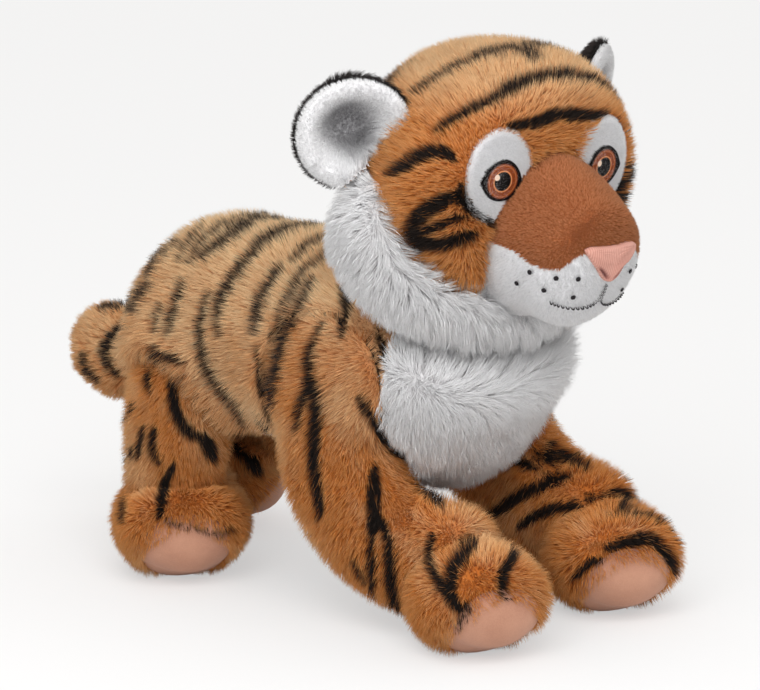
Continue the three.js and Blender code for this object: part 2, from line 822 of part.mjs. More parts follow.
function meshes(pieces) {
  return Object.entries(pieces).map(([name, body]) => {
    const [color, roughness] = finishes[finishFor(name)];
    const material = new THREE.MeshStandardMaterial({ color, roughness, metalness: 0 });
    const mesh = new THREE.Mesh(toGeometry(body), material);
    mesh.name = name;
    return mesh;
  });
}

// Assembly: the head group turns about the neck's axis.
const tiger = new THREE.Group();
tiger.position.set(0, middlePlaneY, 0);
tiger.add(...meshes(makeTorso()), ...meshes(makeNeck()), ...meshes(makeTail()));
legs.forEach((leg) => tiger.add(...meshes(makeLeg(leg))));

const headTurn = new THREE.Group();
headTurn.position.copy(neckPivot);
headTurn.quaternion.setFromAxisAngle(neckAxis, radians(headTurned));
const headParts = new THREE.Group();
headParts.position.copy(neckPivot).negate();
headParts.add(...meshes(makeHead()), ...meshes(makeEar(-1, 'right')), ...meshes(makeEar(1, 'left')));
headTurn.add(headParts);
tiger.add(headTurn);

const toy = new THREE.Group();
toy.add(tiger);
export default toy;
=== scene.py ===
# %% [markdown]
# # A plush tiger cub, built cell by cell
# The toy is a stuffed cub that stands on four legs, made of long pile, short nap and suede.
# Each cloth panel could be a subdivided cage, a sculpt or a lofted tube. Here it is a loft:
# oval rings strung along a smooth spine, because a stuffed limb is exactly that. The pile is
# grown on it as mesh strands, because only geometry outlives an export.
# First the frame is loaded.

import math

import bmesh
import bpy
import numpy as np
from mathutils import Matrix, Vector
from mathutils.bvhtree import BVHTree
from mathutils.kdtree import KDTree


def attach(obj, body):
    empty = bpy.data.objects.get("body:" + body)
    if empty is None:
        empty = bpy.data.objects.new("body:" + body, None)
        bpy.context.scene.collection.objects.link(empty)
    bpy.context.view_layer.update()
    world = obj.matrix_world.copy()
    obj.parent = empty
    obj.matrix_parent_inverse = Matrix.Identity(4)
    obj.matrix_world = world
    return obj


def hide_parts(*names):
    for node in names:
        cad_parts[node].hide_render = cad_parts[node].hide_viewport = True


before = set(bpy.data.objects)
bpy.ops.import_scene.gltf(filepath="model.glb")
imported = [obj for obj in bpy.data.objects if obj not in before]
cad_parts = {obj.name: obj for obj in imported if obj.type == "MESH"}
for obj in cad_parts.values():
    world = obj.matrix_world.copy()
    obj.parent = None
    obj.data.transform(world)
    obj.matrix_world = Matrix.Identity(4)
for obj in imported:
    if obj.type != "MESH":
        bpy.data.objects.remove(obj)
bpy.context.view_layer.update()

# %% [markdown]
# ## The camera
# The photograph looks at the toy's right side from a little in front, 40 degrees round, and
# from 15 degrees above. A short lens close by would bend the outline, so a long lens stands
# five metres off. Two thousand pixels go to the metre in a picture 760 pixels wide. One point
# on the floor, under the toy, and its pixel in the picture fix where the camera aims.

# %% Place the camera
AZIMUTH = math.radians(40)
ELEVATION = math.radians(15)
PICTURE = (760, 690)
PIXELS_PER_METRE = 2000
PAW_PIXEL = (393.4, 592.4)
PAW_POINT = Vector((0.0263, -0.0042, 0.0))
CAMERA_DISTANCE = 5.0
SENSOR = 36.0

picture_right = Vector((math.cos(AZIMUTH), math.sin(AZIMUTH), 0))
picture_toward = Vector((
    math.sin(AZIMUTH) * math.cos(ELEVATION),
    -math.cos(AZIMUTH) * math.cos(ELEVATION),
    math.sin(ELEVATION),
))
picture_up = picture_toward.cross(picture_right)
across = (PICTURE[0] / 2 - PAW_PIXEL[0]) / PIXELS_PER_METRE
upward = (PAW_PIXEL[1] - PICTURE[1] / 2) / PIXELS_PER_METRE
aim = PAW_POINT + picture_right * across + picture_up * upward

camera_data = bpy.data.cameras.new("long_lens")
camera_data.sensor_width = SENSOR
camera_data.lens = SENSOR * CAMERA_DISTANCE * PIXELS_PER_METRE / PICTURE[0]
camera = bpy.data.objects.new("camera", camera_data)
camera.location = aim + picture_toward * CAMERA_DISTANCE
camera.rotation_euler = Matrix((picture_right, picture_up, picture_toward)).transposed().to_euler()
bpy.context.collection.objects.link(camera)
bpy.context.scene.camera = camera
print("camera aims at", [round(v, 4) for v in aim], "lens", round(camera_data.lens, 1))

# %% [markdown]
# ## Floor and light
# A soft toy is lit best by one broad lamp, high in front of it, and an even fill, as beside a
# softbox. The floor could be lit until it is white, but that would bleach the white pile. So
# the floor and the world look white to the camera only, and light the toy at a plain level.

# %% Light the stage
FILL_STRENGTH = 0.93
KEY_POWER = 13.0
KEY_SIZE = 1.1
KEY_PLACE = (0.62, -0.88, 1.12)
LIT_POINT = Vector((0, 0, 0.12))


def add_node(tree, kind, **values):
    """A new shader node with some of its inlets set."""
    node = tree.nodes.new("ShaderNode" + kind)
    for inlet, value in values.items():
        node.inputs[inlet].default_value = value
    return node


def wire(tree, source, node, inlet):
    """Links a socket, or a node's first outlet, to another node's inlet."""
    outlet = source.outputs[0] if hasattr(source, "outputs") else source
    tree.links.new(outlet, node.inputs[inlet])


def seen_directly(tree):
    """1 where the camera, or a reflection or refraction, looks at the surface."""
    path = add_node(tree, "LightPath")
    most = path.outputs["Is Camera Ray"]
    for ray in ("Is Glossy Ray", "Is Transmission Ray"):
        larger = add_node(tree, "Math")
        larger.operation = "MAXIMUM"
        wire(tree, most, larger, 0)
        wire(tree, path.outputs[ray], larger, 1)
        most = larger.outputs[0]
    return most


def blend_shaders(tree, share, first, second, outlet):
    """Fills a material or a world with two shaders, mixed by a share."""
    mixed = add_node(tree, "MixShader")
    for inlet, source in enumerate((share, first, second)):
        wire(tree, source, mixed, inlet)
    wire(tree, mixed, add_node(tree, outlet), 0)


world = bpy.data.worlds.new("studio")
bpy.context.scene.world = world
world.use_nodes = True
air = world.node_tree
air.nodes.clear()
blend_shaders(
    air, seen_directly(air),
    add_node(air, "Background", Color=(1, 0.985, 0.97, 1), Strength=FILL_STRENGTH),
    add_node(air, "Background", Color=(1, 1, 1, 1), Strength=1), "OutputWorld")

key_data = bpy.data.lights.new("softbox", "AREA")
key_data.shape = "SQUARE"
key_data.size = KEY_SIZE
key_data.energy = KEY_POWER
key = bpy.data.objects.new("softbox", key_data)
key.location = KEY_PLACE
key.rotation_euler = (LIT_POINT - key.location).to_track_quat("-Z", "Y").to_euler()
bpy.context.collection.objects.link(key)
print("lit by", key_data.energy, "W from the front and a fill of", FILL_STRENGTH)

# %% [markdown]
# The toy stands on white card. A curved sweep behind it would hide a horizon, but from above
# there is none, so a flat sheet does, sixteen metres across, with its edge out of the
# picture. It is a part of the stage and not of the toy.

# %% Lay the floor
FLOOR_REACH = 8.0
FLOOR_GLOW_SHARE = 0.5

floor_mesh = bpy.data.meshes.new("floor")
floor_mesh.from_pydata(
    [(x * FLOOR_REACH, y * FLOOR_REACH, 0) for x, y in ((-1, -1), (1, -1), (1, 1), (-1, 1))],
    [], [(0, 1, 2, 3)])
floor = bpy.data.objects.new("floor", floor_mesh)
bpy.context.collection.objects.link(floor)
floor_paint = bpy.data.materials.new("pale_floor")
floor_paint.use_nodes = True
paper = floor_paint.node_tree
paper.nodes.clear()
share = add_node(paper, "Math")
share.operation = "MULTIPLY"
share.inputs[1].default_value = FLOOR_GLOW_SHARE
wire(paper, seen_directly(paper), share, 0)
blend_shaders(
    paper, share, add_node(paper, "BsdfDiffuse", Color=(0.8, 0.8, 0.8, 1)),
    add_node(paper, "Emission", Color=(1, 1, 1, 1)), "OutputMaterial")
floor_mesh.materials.append(floor_paint)
print("the floor glows for the camera by", FLOOR_GLOW_SHARE)

# %% [markdown]
# ## Sizes shared with the pattern
# A sewing pattern gives each panel its place. These are the same numbers, in millimetres, as
# the frame's solids were made from: rows of along, rise, half width and half height. They
# could be measured on the solids, but a form that is written down can be grown and shrunk,
# which skins and paddings need.

# %% Write down the pattern
MM = 0.001
MIDDLE = np.array([0.0, -4.2, 0.0])
TORSO_LENGTH, TORSO_WIDTH, TORSO_HEIGHT = 228, 124, 102
RUMP, BELLY = -122.7, 75
TORSO_MIDDLE = BELLY + TORSO_HEIGHT / 2
NECK = np.array([RUMP + TORSO_LENGTH - 53, 0.0, BELLY + TORSO_HEIGHT - 17.0])
NECK_LEAN = math.radians(30)
NECK_AXIS = np.array([math.sin(NECK_LEAN), 0.0, math.cos(NECK_LEAN)])
HEAD_TURNED = math.radians(-7.5)
HEAD_LENGTH, HEAD_WIDTH, HEAD_HEIGHT = 112, 148, 132
HEAD_MIDDLE = NECK + np.array([30.0, 0.0, 65.0])
HEAD_BACK = HEAD_MIDDLE[0] - HEAD_LENGTH / 2
FACE = HEAD_BACK + HEAD_LENGTH
MUZZLE_LENGTH, MUZZLE_WIDTH, MUZZLE_HEIGHT, MUZZLE_DROP = 36, 72, 88, 26.5
TORSO_ROWS = [
    (0.19, 0.0, 0.46, 0.49),
    (0.36, 0.01, 0.48, 0.49),
    (0.52, -0.01, 0.47, 0.48),
    (0.7, -0.04, 0.49, 0.53),
    (0.85, -0.08, 0.46, 0.5),
]
HEAD_ROWS = [
    (0.24, -0.03, 0.38, 0.4),
    (0.44, 0.0, 0.48, 0.48),
    (0.66, 0.01, 0.5, 0.49),
    (0.84, -0.01, 0.43, 0.42),
]
MUZZLE_ROWS = [(-0.9, 0.06, 0.48, 0.5), (-0.2, 0.04, 0.51, 0.47), (0.42, -0.05, 0.46, 0.4)]
print("head turned by", round(math.degrees(HEAD_TURNED), 1), "degrees about the neck")

# %% [markdown]
# ## Lofting a stuffed form
# A stuffed tube swells evenly between its seams. A Bezier curve with a bevel could make one,
# but only a round one. A centripetal Catmull-Rom curve passes through every row and never
# loops, so it serves as the spine and, with widths in place of points, as the girth. Rings of
# points stand square to the spine, and each end closes in a dome.

# %% Loft rings along a spine
RING_POINTS = 44


def glide(points, t):
    """The point at t, from 0 to 1, on a smooth curve through the points."""
    points = np.asarray(points, float)
    last = len(points) - 1
    step = min(int(last * t), last - 1)
    part = last * t - step
    p1, p2 = points[step], points[step + 1]
    p0 = points[step - 1] if step > 0 else 2 * p1 - p2
    p3 = points[step + 2] if step + 2 <= last else 2 * p2 - p1
    gaps = [max(np.linalg.norm(b - a), 1e-8) ** 0.5 for a, b in ((p0, p1), (p1, p2), (p2, p3))]
    way1 = (p1 - p0) / gaps[0] - (p2 - p0) / (gaps[0] + gaps[1]) + (p2 - p1) / gaps[1]
    way2 = (p2 - p1) / gaps[1] - (p3 - p1) / (gaps[1] + gaps[2]) + (p3 - p2) / gaps[2]
    way1, way2 = way1 * gaps[1], way2 * gaps[1]
    bend = -3 * p1 + 3 * p2 - 2 * way1 - way2
    return p1 + way1 * part + bend * part ** 2 + (2 * p1 - 2 * p2 + way1 + way2) * part ** 3


def unit(v):
    v = np.asarray(v, float)
    return v / np.maximum(np.linalg.norm(v, axis=-1, keepdims=True), 1e-12)


def fade(values, start, over):
    """0 up to a start, rising evenly to 1 over the length that follows."""
    return np.clip((values - start) / over, 0, 1)


def ring_faces(rings, sides):
    """The faces of a closed form: one point, rings of points, and one more point."""
    last = rings * sides + 1
    faces = []
    for k in range(sides):
        after = (k + 1) % sides
        faces.append((0, 1 + k, 1 + after))
        faces.append((last, last - sides + after, last - sides + k))
        for j in range(rings - 1):
            low, high = 1 + j * sides, 1 + (j + 1) * sides
            faces.append((low + k, high + k, high + after, low + after))
    return faces


def swell(spots, girths, domes, grow=0.0, across=(0, 1, 0), rings=26, caps=9):
    """Closed loft in millimetres: its corners, and its faces as lists of corner numbers."""
    stops = [(0, k / caps * math.pi / 2, -1) for k in range(caps - 1, 0, -1)]
    stops += [(k / rings, 0, 0) for k in range(rings + 1)]
    stops += [(1, k / caps * math.pi / 2, 1) for k in range(1, caps)]
    across = np.array(across, float)
    angles = (np.arange(RING_POINTS) + 0.5) / RING_POINTS * 2 * math.pi

    def heading(t):
        return unit(glide(spots, min(1, t + 1e-4)) - glide(spots, max(0, t - 1e-4)))

    corners = [glide(spots, 0) - heading(0) * (domes[0] + grow)]
    for t, turn, way in stops:
        along = heading(t)
        wide, deep = glide(girths, t)
        dome = domes[0] if way < 0 else domes[1]
        middle = glide(spots, t) + along * way * (dome + grow) * math.sin(turn)
        side = unit(across - along * across.dot(along))
        rise = np.cross(side, along)
        for angle in angles:
            corners.append(
                middle
                + side * (wide + grow) * math.cos(turn) * math.cos(angle)
                + rise * (deep + grow) * math.cos(turn) * math.sin(angle))
    corners.append(glide(spots, 1) + heading(1) * (domes[1] + grow))
    return np.array(corners), ring_faces(len(stops), RING_POINTS)


def from_rows(rows, start, length, width, height, middle, domes, grow):
    """A loft along X from rows of shares."""
    spots = [(start + a * length, 0, middle + r * height) for a, r, _, _ in rows]
    girths = [(w * width, h * height) for _, _, w, h in rows]
    return swell(spots, girths, [d * length for d in domes], grow)


def torso_form(grow):
    return from_rows(TORSO_ROWS, RUMP, TORSO_LENGTH, TORSO_WIDTH, TORSO_HEIGHT,
                     TORSO_MIDDLE, (0.19, 0.15), grow)


def head_form(grow):
    return from_rows(HEAD_ROWS, HEAD_BACK, HEAD_LENGTH, HEAD_WIDTH, HEAD_HEIGHT,
                     HEAD_MIDDLE[2], (0.24, 0.1), grow)


def muzzle_form(grow):
    return from_rows(MUZZLE_ROWS, FACE, MUZZLE_LENGTH, MUZZLE_WIDTH, MUZZLE_HEIGHT,
                     HEAD_MIDDLE[2] - MUZZLE_DROP, (0.1, 0.55), grow)


plain_torso, _ = torso_form(0)
print("torso spans", plain_torso.min(0).round(1), plain_torso.max(0).round(1))

# %% [markdown]
# ## From points to skins
# A skin has to be one clean surface: where a leg's shaft and its paw overlap, a voxel remesh
# melts them into one, and a smoothing pass rounds the join as stuffing does. Booleans could
# join them too, but leave a sharp crease. All of this happens in the pattern's millimetres; a
# finished piece is moved into the frame last.

# %% Make skins
VOXEL = 2.6


def to_frame(points, in_head=False):
    """Pattern millimetres to the frame's metres; the head's parts turn with the head."""
    points = np.asarray(points, float)
    if in_head:
        turn = np.array(Matrix.Rotation(HEAD_TURNED, 3, Vector(NECK_AXIS)))
        points = (points - NECK) @ turn.T + NECK
    return (points + MIDDLE) * MM


def new_object(name, points, faces):
    mesh = bpy.data.meshes.new(name)
    mesh.from_pydata([tuple(p) for p in points], [], [tuple(f) for f in faces])
    mesh.update()
    piece = bpy.data.objects.new(name, mesh)
    bpy.context.collection.objects.link(piece)
    return piece


def read_all(items, what, per_item, kind=float):
    """One kind of number of all of a mesh's items, a row for each item."""
    numbers = np.empty(len(items) * per_item, kind)
    items.foreach_get(what, numbers)
    return numbers.reshape(-1, per_item)


def taken_from(piece):
    """A piece's mesh as a form, corners and faces. The piece itself goes."""
    mesh = piece.data
    form = read_all(mesh.vertices, "co", 3), [tuple(face.vertices) for face in mesh.polygons]
    bpy.data.objects.remove(piece)
    return form


def join(forms):
    """Puts several forms into one, as they are."""
    points, faces, start = [], [], 0
    for form_points, form_faces in forms:
        points.append(form_points)
        faces += [tuple(int(i) + start for i in face) for face in form_faces]
        start += len(form_points)
    return np.concatenate(points), faces


def cut_flat(form, place, way):
    """Cuts off what lies beyond a plane, and closes the cut."""
    piece = new_object("cutting", *form)
    cage = bmesh.new()
    cage.from_mesh(piece.data)
    everything = list(cage.verts) + list(cage.edges) + list(cage.faces)
    bmesh.ops.bisect_plane(cage, geom=everything, plane_co=place, plane_no=way, clear_outer=True)
    bmesh.ops.holes_fill(cage, edges=[edge for edge in cage.edges if edge.is_boundary])
    cage.to_mesh(piece.data)
    cage.free()
    return taken_from(piece)


def melt(forms, smooth=6, voxel=VOXEL):
    """Joins overlapping closed forms into one skin."""
    piece = new_object("melting", *join(forms))
    remesh = piece.modifiers.new("melt", "REMESH")
    remesh.mode = "VOXEL"
    remesh.voxel_size = voxel
    rounding = piece.modifiers.new("round", "SMOOTH")
    rounding.factor = 0.5
    rounding.iterations = smooth
    seen = piece.evaluated_get(bpy.context.evaluated_depsgraph_get())
    melted = bpy.data.meshes.new_from_object(seen)
    piece.modifiers.clear()
    piece.data = melted
    return taken_from(piece)


def tree_of(form):
    """A search tree over a form, to cast rays at and measure from."""
    points, faces = form
    return BVHTree.FromPolygons([Vector(p) for p in points], faces)


def depth_in(tree, points):
    """How deep each point lies in a closed form; less than nothing outside it."""
    depths = np.empty(len(points))
    for k, point in enumerate(points):
        near, normal, _, _ = tree.find_nearest(Vector(point))
        depths[k] = (near - Vector(point)).dot(normal)
    return depths


print("skins are melted at", VOXEL, "mm")

# %% [markdown]
# A panel of cloth is flat before it is sewn. Smart UV Project flattens a skin in the same
# sense, so that its colours can be baked for an export; seams marked by hand would follow the
# real panels, but the pile hides them. The skin is then kept as arrays, from which panels
# are cut by choosing triangles.

# %% Flatten skins
UNWRAP_ANGLE = 1.15


def flatten_skin(form):
    """Unwraps a form and gives it back as arrays: corners, normals, triangles, their UVs."""
    piece = new_object("flattening", *form)
    bpy.ops.object.select_all(action="DESELECT")
    piece.select_set(True)
    bpy.context.view_layer.objects.active = piece
    bpy.ops.object.mode_set(mode="EDIT")
    bpy.ops.mesh.select_all(action="SELECT")
    bpy.ops.uv.smart_project(angle_limit=UNWRAP_ANGLE, island_margin=0.006)
    bpy.ops.object.mode_set(mode="OBJECT")
    mesh = piece.data
    mesh.calc_loop_triangles()
    loops = read_all(mesh.loop_triangles, "loops", 3, int)
    skin = {
        "corners": read_all(mesh.vertices, "co", 3),
        "normals": read_all(mesh.vertex_normals, "vector", 3),
        "triangles": read_all(mesh.loop_triangles, "vertices", 3, int),
        "uv": read_all(mesh.uv_layers.active.uv, "vector", 2)[loops],
    }
    bpy.data.objects.remove(piece)
    return skin


def part_of(skin, mask):
    """The same skin with only some of its triangles."""
    return {**skin, "triangles": skin["triangles"][mask], "uv": skin["uv"][mask]}


def centres(skin):
    return skin["corners"][skin["triangles"]].mean(1)


print("islands split where the cloth turns by", UNWRAP_ANGLE, "radians")

# %% [markdown]
# ## Stripes
# On the real cloth the stripes are printed into the pile. A texture could do that, but a
# strand needs its colour by where its tip is, so each stripe is a stroke in space: a half
# width and a line of points. The strokes are measured on the side that the photograph shows;
# the groups called unseen are guesses for where it shows nothing. Two strokes are painted
# shade: one where the flank overhangs the right hind leg, which is no print, and one that
# darkens the cheek between two printed stripes.

# %% Write down the strokes
STRIPES_AND_SHADE = {  # half widths and points in millimetres
    "torso": [
        (3.0, [(20, -34, 166), (28, -41, 160), (33, -49, 153), (36, -56, 146)]),
        (3.0, [
            (-1, -32, 166), (0, -40, 160), (1, -47, 154), (0, -52, 146), (-1, -56, 138),
            (-4, -56, 129), (-7, -56, 118), (-11, -54, 107), (-19, -45, 95), (-27, -32, 84),
        ]),
        (1.9, [
            (-12, -4, 175), (-9, -18, 172), (-10, -29, 168), (-9, -38, 162), (-8, -45, 156),
            (-8, -50, 149), (-8, -55, 141), (-8, -57, 135),
        ]),
        (2.9, [
            (-23, -30, 169), (-23, -37, 165), (-23, -43, 159), (-23, -49, 154), (-22, -52, 148),
            (-20, -57, 138),
        ]),
        (2.9, [
            (-51, 16, 177), (-51, 6, 176), (-48, -9, 176), (-46, -21, 174), (-45, -29, 170),
            (-45, -37, 165), (-46, -44, 159), (-46, -50, 153), (-46, -54, 147), (-44, -57, 141),
            (-42, -58, 133),
        ]),
        (2.8, [
            (-73, 12, 176), (-70, -1, 176), (-69, -12, 175), (-68, -21, 173), (-70, -30, 169),
            (-72, -36, 165),
        ]),
        (1.7, [
            (-79, 14, 176), (-78, 0, 177), (-82, -7, 175), (-81, -18, 173), (-80, -26, 170),
            (-78, -34, 166), (-77, -40, 161),
        ]),
        (1.6, [(-94, -7, 173), (-92, -18, 170), (-90, -28, 166), (-86, -38, 160)]),
        (2.5, [
            (-55, -50, 153), (-56, -53, 147), (-55, -56, 141), (-55, -58, 134), (-53, -59, 126),
            (-53, -57, 118), (-55, -49, 106), (-52, -44, 98), (-51, -34, 87), (-45, -32, 78),
        ]),
        (2.2, [
            (-75, -46, 156), (-75, -50, 149), (-75, -54, 142), (-76, -56, 135), (-77, -57, 127),
        ]),
        (1.9, [(-85, -52, 142), (-87, -54, 134), (-99, -41, 122), (-107, -35, 112)]),
        (3.0, [(-93, -51, 116), (-85, -55, 114), (-77, -57, 114), (-68, -55, 112)]),
        (1.9, [(-31, 19, 176), (-29, 9, 175), (-25, -6, 175), (-22, -17, 173), (-22, -25, 170)]),
        (1.7, [(19, -49, 151), (21, -56, 146), (24, -64, 140)]),
        (1.6, [(-18, -58, 132), (-15, -58, 123), (-15, -56, 114), (-18, -51, 102)]),
    ],
    "foreleg_right": [
        (3.8, [
            (23, -64, 141), (26, -69, 133), (28, -71, 125), (32, -71, 118), (34, -72, 105),
            (34, -73, 90), (35, -73, 75), (37, -72, 64), (36, -70, 54),
        ]),
        (2.4, [(28, -71, 125), (26, -72, 117), (22, -71, 107), (19, -70, 96)]),
        (2.9, [
            (56, -48, 151), (61, -51, 143), (67, -55, 132), (58, -42, 117), (58, -40, 110),
            (62, -48, 105), (63, -53, 98),
        ]),
        (3.0, [
            (54, -62, 118), (57, -60, 111), (60, -57, 104), (64, -51, 96), (64, -40, 87),
            (67, -34, 83),
        ]),
        (4.4, [(65, -59, 83), (66, -62, 73), (68, -66, 62), (68, -68, 52)]),
        (2.2, [(68, -68, 52), (69, -70, 43), (67, -67, 29), (70, -69, 16)]),
        (3.3, [
            (71, -65, 61), (77, -67, 51), (80, -69, 40), (79, -67, 29), (74, -58, 16),
            (78, -58, 7), (82, -58, -1), (85, -57, -6),
        ]),
        (1.7, [(55, -68, 36), (58, -67, 30), (57, -60, 22)]),
        (3.0, [(74, -34, 72), (80, -33, 69), (90, -38, 68)]),
        (3.0, [
            (99, -59, 57), (100, -64, 50), (104, -68, 44), (117, -78, 41), (128, -84, 36),
            (134, -84, 30),
        ]),
        (4.3, [
            (115, -44, 55), (118, -58, 52), (120, -69, 48), (126, -79, 42), (131, -84, 37),
            (135, -83, 30), (139, -81, 29),
        ]),
        (2.9, [(141, -80, 32), (139, -81, 25), (134, -81, 17)]),
        (3.5, [
            (135, -36, 56), (136, -38, 49), (145, -54, 48), (149, -61, 44), (151, -64, 38),
            (154, -64, 33),
        ]),
    ],
    "foreleg_left": [
        (3.4, [
            (100, 48, 66), (97, 42, 64), (92, 36, 60), (86, 31, 55), (74, 34, 48), (65, 33, 41),
            (59, 31, 36),
        ]),
        (3.4, [(113, 40, 54), (107, 35, 51), (99, 33, 48), (90, 30, 42), (81, 31, 35)]),
        (3.2, [(91, 52, 73), (93, 62, 70), (100, 65, 67)]),
        (2.5, [(125, 56, 52), (121, 71, 50), (126, 74, 48)]),
        (4.2, [
            (146, 21, 40), (150, 28, 42), (153, 34, 43), (156, 44, 43), (159, 49, 39),
            (161, 52, 33), (162, 56, 27), (165, 56, 21),
        ]),
        (2.8, [(146, 19, 34), (140, 15, 32), (135, 12, 27), (128, 15, 20)]),
    ],
    "hindleg_right": [
        (2.0, [(-86, -59, 108), (-86, -61, 102), (-81, -63, 96)]),
        (3.7, [
            (-69, -60, 104), (-67, -61, 97), (-66, -61, 90), (-63, -60, 83), (-59, -55, 77),
            (-54, -50, 74),
        ]),
        (2.8, [(-78, -64, 79), (-79, -64, 71), (-78, -64, 65), (-75, -62, 60)]),
        (2.0, [(-86, -63, 78), (-89, -62, 68), (-91, -62, 60)]),
        # not a stripe: painted shade where the flank overhangs the hind leg; mirrored, it falls on
        # the left one too
        (4.7, [(-54, -50, 75), (-54, -46, 68), (-54, -42, 61)]),
        (2.9, [(-67, -60, 60), (-71, -61, 53), (-70, -66, 48), (-67, -71, 42), (-65, -74, 37)]),
        (1.9, [(-100, -62, 39), (-95, -70, 34), (-93, -71, 29)]),
        (2.0, [(-61, -72, 35), (-53, -68, 33), (-47, -60, 29), (-42, -50, 27), (-41, -42, 28)]),
    ],
    "hindleg_left": [
        (4.3, [(-98, 15, 51), (-93, 18, 47), (-90, 24, 41), (-90, 34, 32)]),
    ],
    "tail": [
        (2.9, [
            (-146, -9, 112), (-152, -14, 105), (-154, -16, 97), (-152, -15, 89), (-147, -11, 83),
        ]),
        (2.4, [(-172, -12, 92), (-168, -14, 84), (-161, -12, 78)]),
        (2.2, [(-154, -3, 119), (-161, -4, 119), (-167, -5, 117)]),
    ],
    "head": [
        (2.4, [
            (79, -50, 271), (84, -46, 275), (87, -39, 280), (90, -32, 284), (93, -25, 287),
            (92, -14, 289), (94, -5, 290), (96, 2, 291), (101, 6, 290), (110, 7, 288),
        ]),
        (3.2, [
            (109, -61, 258), (113, -56, 263), (116, -50, 267), (119, -43, 271), (121, -35, 274),
            (122, -28, 277), (123, -18, 280), (123, -8, 282), (123, 2, 283), (122, 14, 282),
            (118, 30, 279),
        ]),
        (3.5, [
            (131, -30, 260), (132, -21, 260), (133, -12, 261), (133, -2, 263), (133, 8, 264),
            (132, 19, 262),
        ]),
        (4.3, [
            (88, -72, 234), (97, -71, 239), (104, -70, 245), (110, -66, 248), (116, -62, 249),
            (121, -60, 246),
        ]),
        (4.7, [
            (100, -70, 206), (106, -69, 213), (113, -67, 220), (120, -64, 224), (124, -59, 226),
            (126, -55, 228),
        ]),
        (4.2, [
            (99, -67, 201), (106, -63, 200), (115, -58, 200), (123, -51, 203), (125, -43, 205),
        ]),
        (4.7, [(101, -71, 209), (102, -67, 202), (103, -63, 196)]),
        # darkens the cheek between the stripes beside it: print there, with painted shade over the
        # cheek
        (2.6, [(102, -69, 204), (112, -63, 209), (120, -58, 213), (125, -50, 214)]),
        (3.4, [
            (126, -57, 232), (126, -55, 224), (127, -48, 219), (127, -38, 214), (129, -34, 210),
        ]),
        (2.8, [(130, 38, 259), (128, 46, 255), (127, 52, 250)]),
        (2.8, [(125, 54, 216), (128, 57, 213), (131, 59, 211)]),
    ],
    "unseen_head": [
        (3.2, [(62, -54, 262), (50, -38, 270), (44, -22, 275), (43, -8, 278)]),
        (3.6, [(42, -60, 240), (33, -44, 247), (28, -26, 252), (27, -10, 254)]),
        (3.2, [(36, -58, 214), (28, -42, 220), (25, -26, 224), (26, -12, 226)]),
    ],
    "unseen_body": [
        (2.6, [(-98, -46, 152), (-106, -34, 157), (-111, -18, 160), (-113, -5, 161)]),
        (2.8, [(-106, -50, 132), (-114, -38, 136), (-119, -22, 139), (-121, -10, 140)]),
        (3.2, [(-106, -28, 84), (-112, -42, 80), (-106, -58, 78)]),
        (3.0, [(-104, -26, 62), (-109, -42, 58), (-103, -60, 57)]),
    ],
}
print({group: len(strokes) for group, strokes in STRIPES_AND_SHADE.items()})

# %% [markdown]
# A strand turns dark when it comes near a stroke, with a little scatter, so that the edges
# mix as dyed fibres do. The stroke is dropped onto the cloth first: straight from the viewer
# where the viewer sees the cloth, or else the stripe would land beside its place, and square
# to the cloth elsewhere. Most strokes are laid on the right and repeated on the left.

# %% Lay the stripes
FAR = 9.0  # stands for any distance that is too far to matter
THROUGH = 30.0  # a stroke doesn't reach cloth further behind it than this
FADE_END, FADE = 1.25, 0.5  # in half widths
EDGE_WAVES, EDGE_DEPTH = 7.0, 0.12


def mirrored(strokes):
    """The same strokes on the other side, marked so that they are projected from there."""
    return [(half, [(x, -y, z) for x, y, z in line], "other side") for half, line in strokes]


def printed_along(normals, other_side):
    """The way a stroke is projected: straight from its viewer, or square to the cloth."""
    way = np.array(picture_toward) * ((1, -1, 1) if other_side else (1, 1, 1))
    seen = np.clip(normals @ way / 0.3, 0, 1)[:, None]
    return unit(normals * (1 - seen) + way * seen)


def waves(points, size, seed):
    """A smooth, repeatable field of vectors between -1 and 1 that changes over a size."""
    rng = np.random.default_rng(seed)
    total = np.zeros((len(points), 3))
    for _ in range(4):
        ways = rng.normal(size=(3, 3)) / size * 2.2
        total += np.sin(points @ ways + rng.uniform(0, 6.28, 3))
    return total / 4


def darkness(points, normals, strokes, scatter, seed):
    """How dark the stripes, and the strokes of painted shade, make each point, from 0 to 1."""
    rng = np.random.default_rng(seed)
    spots = points + rng.normal(0, scatter, points.shape)
    uneven = 0.95 + EDGE_DEPTH * waves(points, EDGE_WAVES, seed + 1)[:, 0]
    dark = np.zeros(len(points))
    for half, line, *other_side in strokes:
        line = np.array(line, float)
        margin = 4 * half + 14
        near = np.all((spots > line.min(0) - margin) & (spots < line.max(0) + margin), axis=1)
        if not near.any():
            continue
        here, up = spots[near], printed_along(normals[near], other_side)
        steps = np.linalg.norm(np.diff(line, axis=0), axis=1)
        marks = np.concatenate([[0], np.cumsum(steps)]) / steps.sum()
        closest = np.full(len(here), FAR)
        for a, b, start, end in zip(line[:-1], line[1:], marks[:-1], marks[1:]):
            along = b - a - ((b - a) * up).sum(1, keepdims=True) * up
            lift = ((here - a) * up).sum(1)
            gap = here - a - lift[:, None] * up
            share = np.clip((gap * along).sum(1) / (along ** 2).sum(1), 0, 1)
            gap -= share[:, None] * along
            place = start + (end - start) * share
            taper = 0.5 + 0.5 * np.sin(math.pi * np.clip(place, 0, 1)) ** 0.5
            ratio = np.linalg.norm(gap, axis=1) / (half * taper * uneven[near])
            ratio[np.abs(lift) > THROUGH] = FAR
            closest = np.minimum(closest, ratio)
        amount = np.clip((FADE_END - closest) / FADE, 0, 1)
        dark[near] = np.maximum(dark[near], amount * amount * (3 - 2 * amount))
    return dark


print("a stroke fades out at", FADE_END, "of its half width")

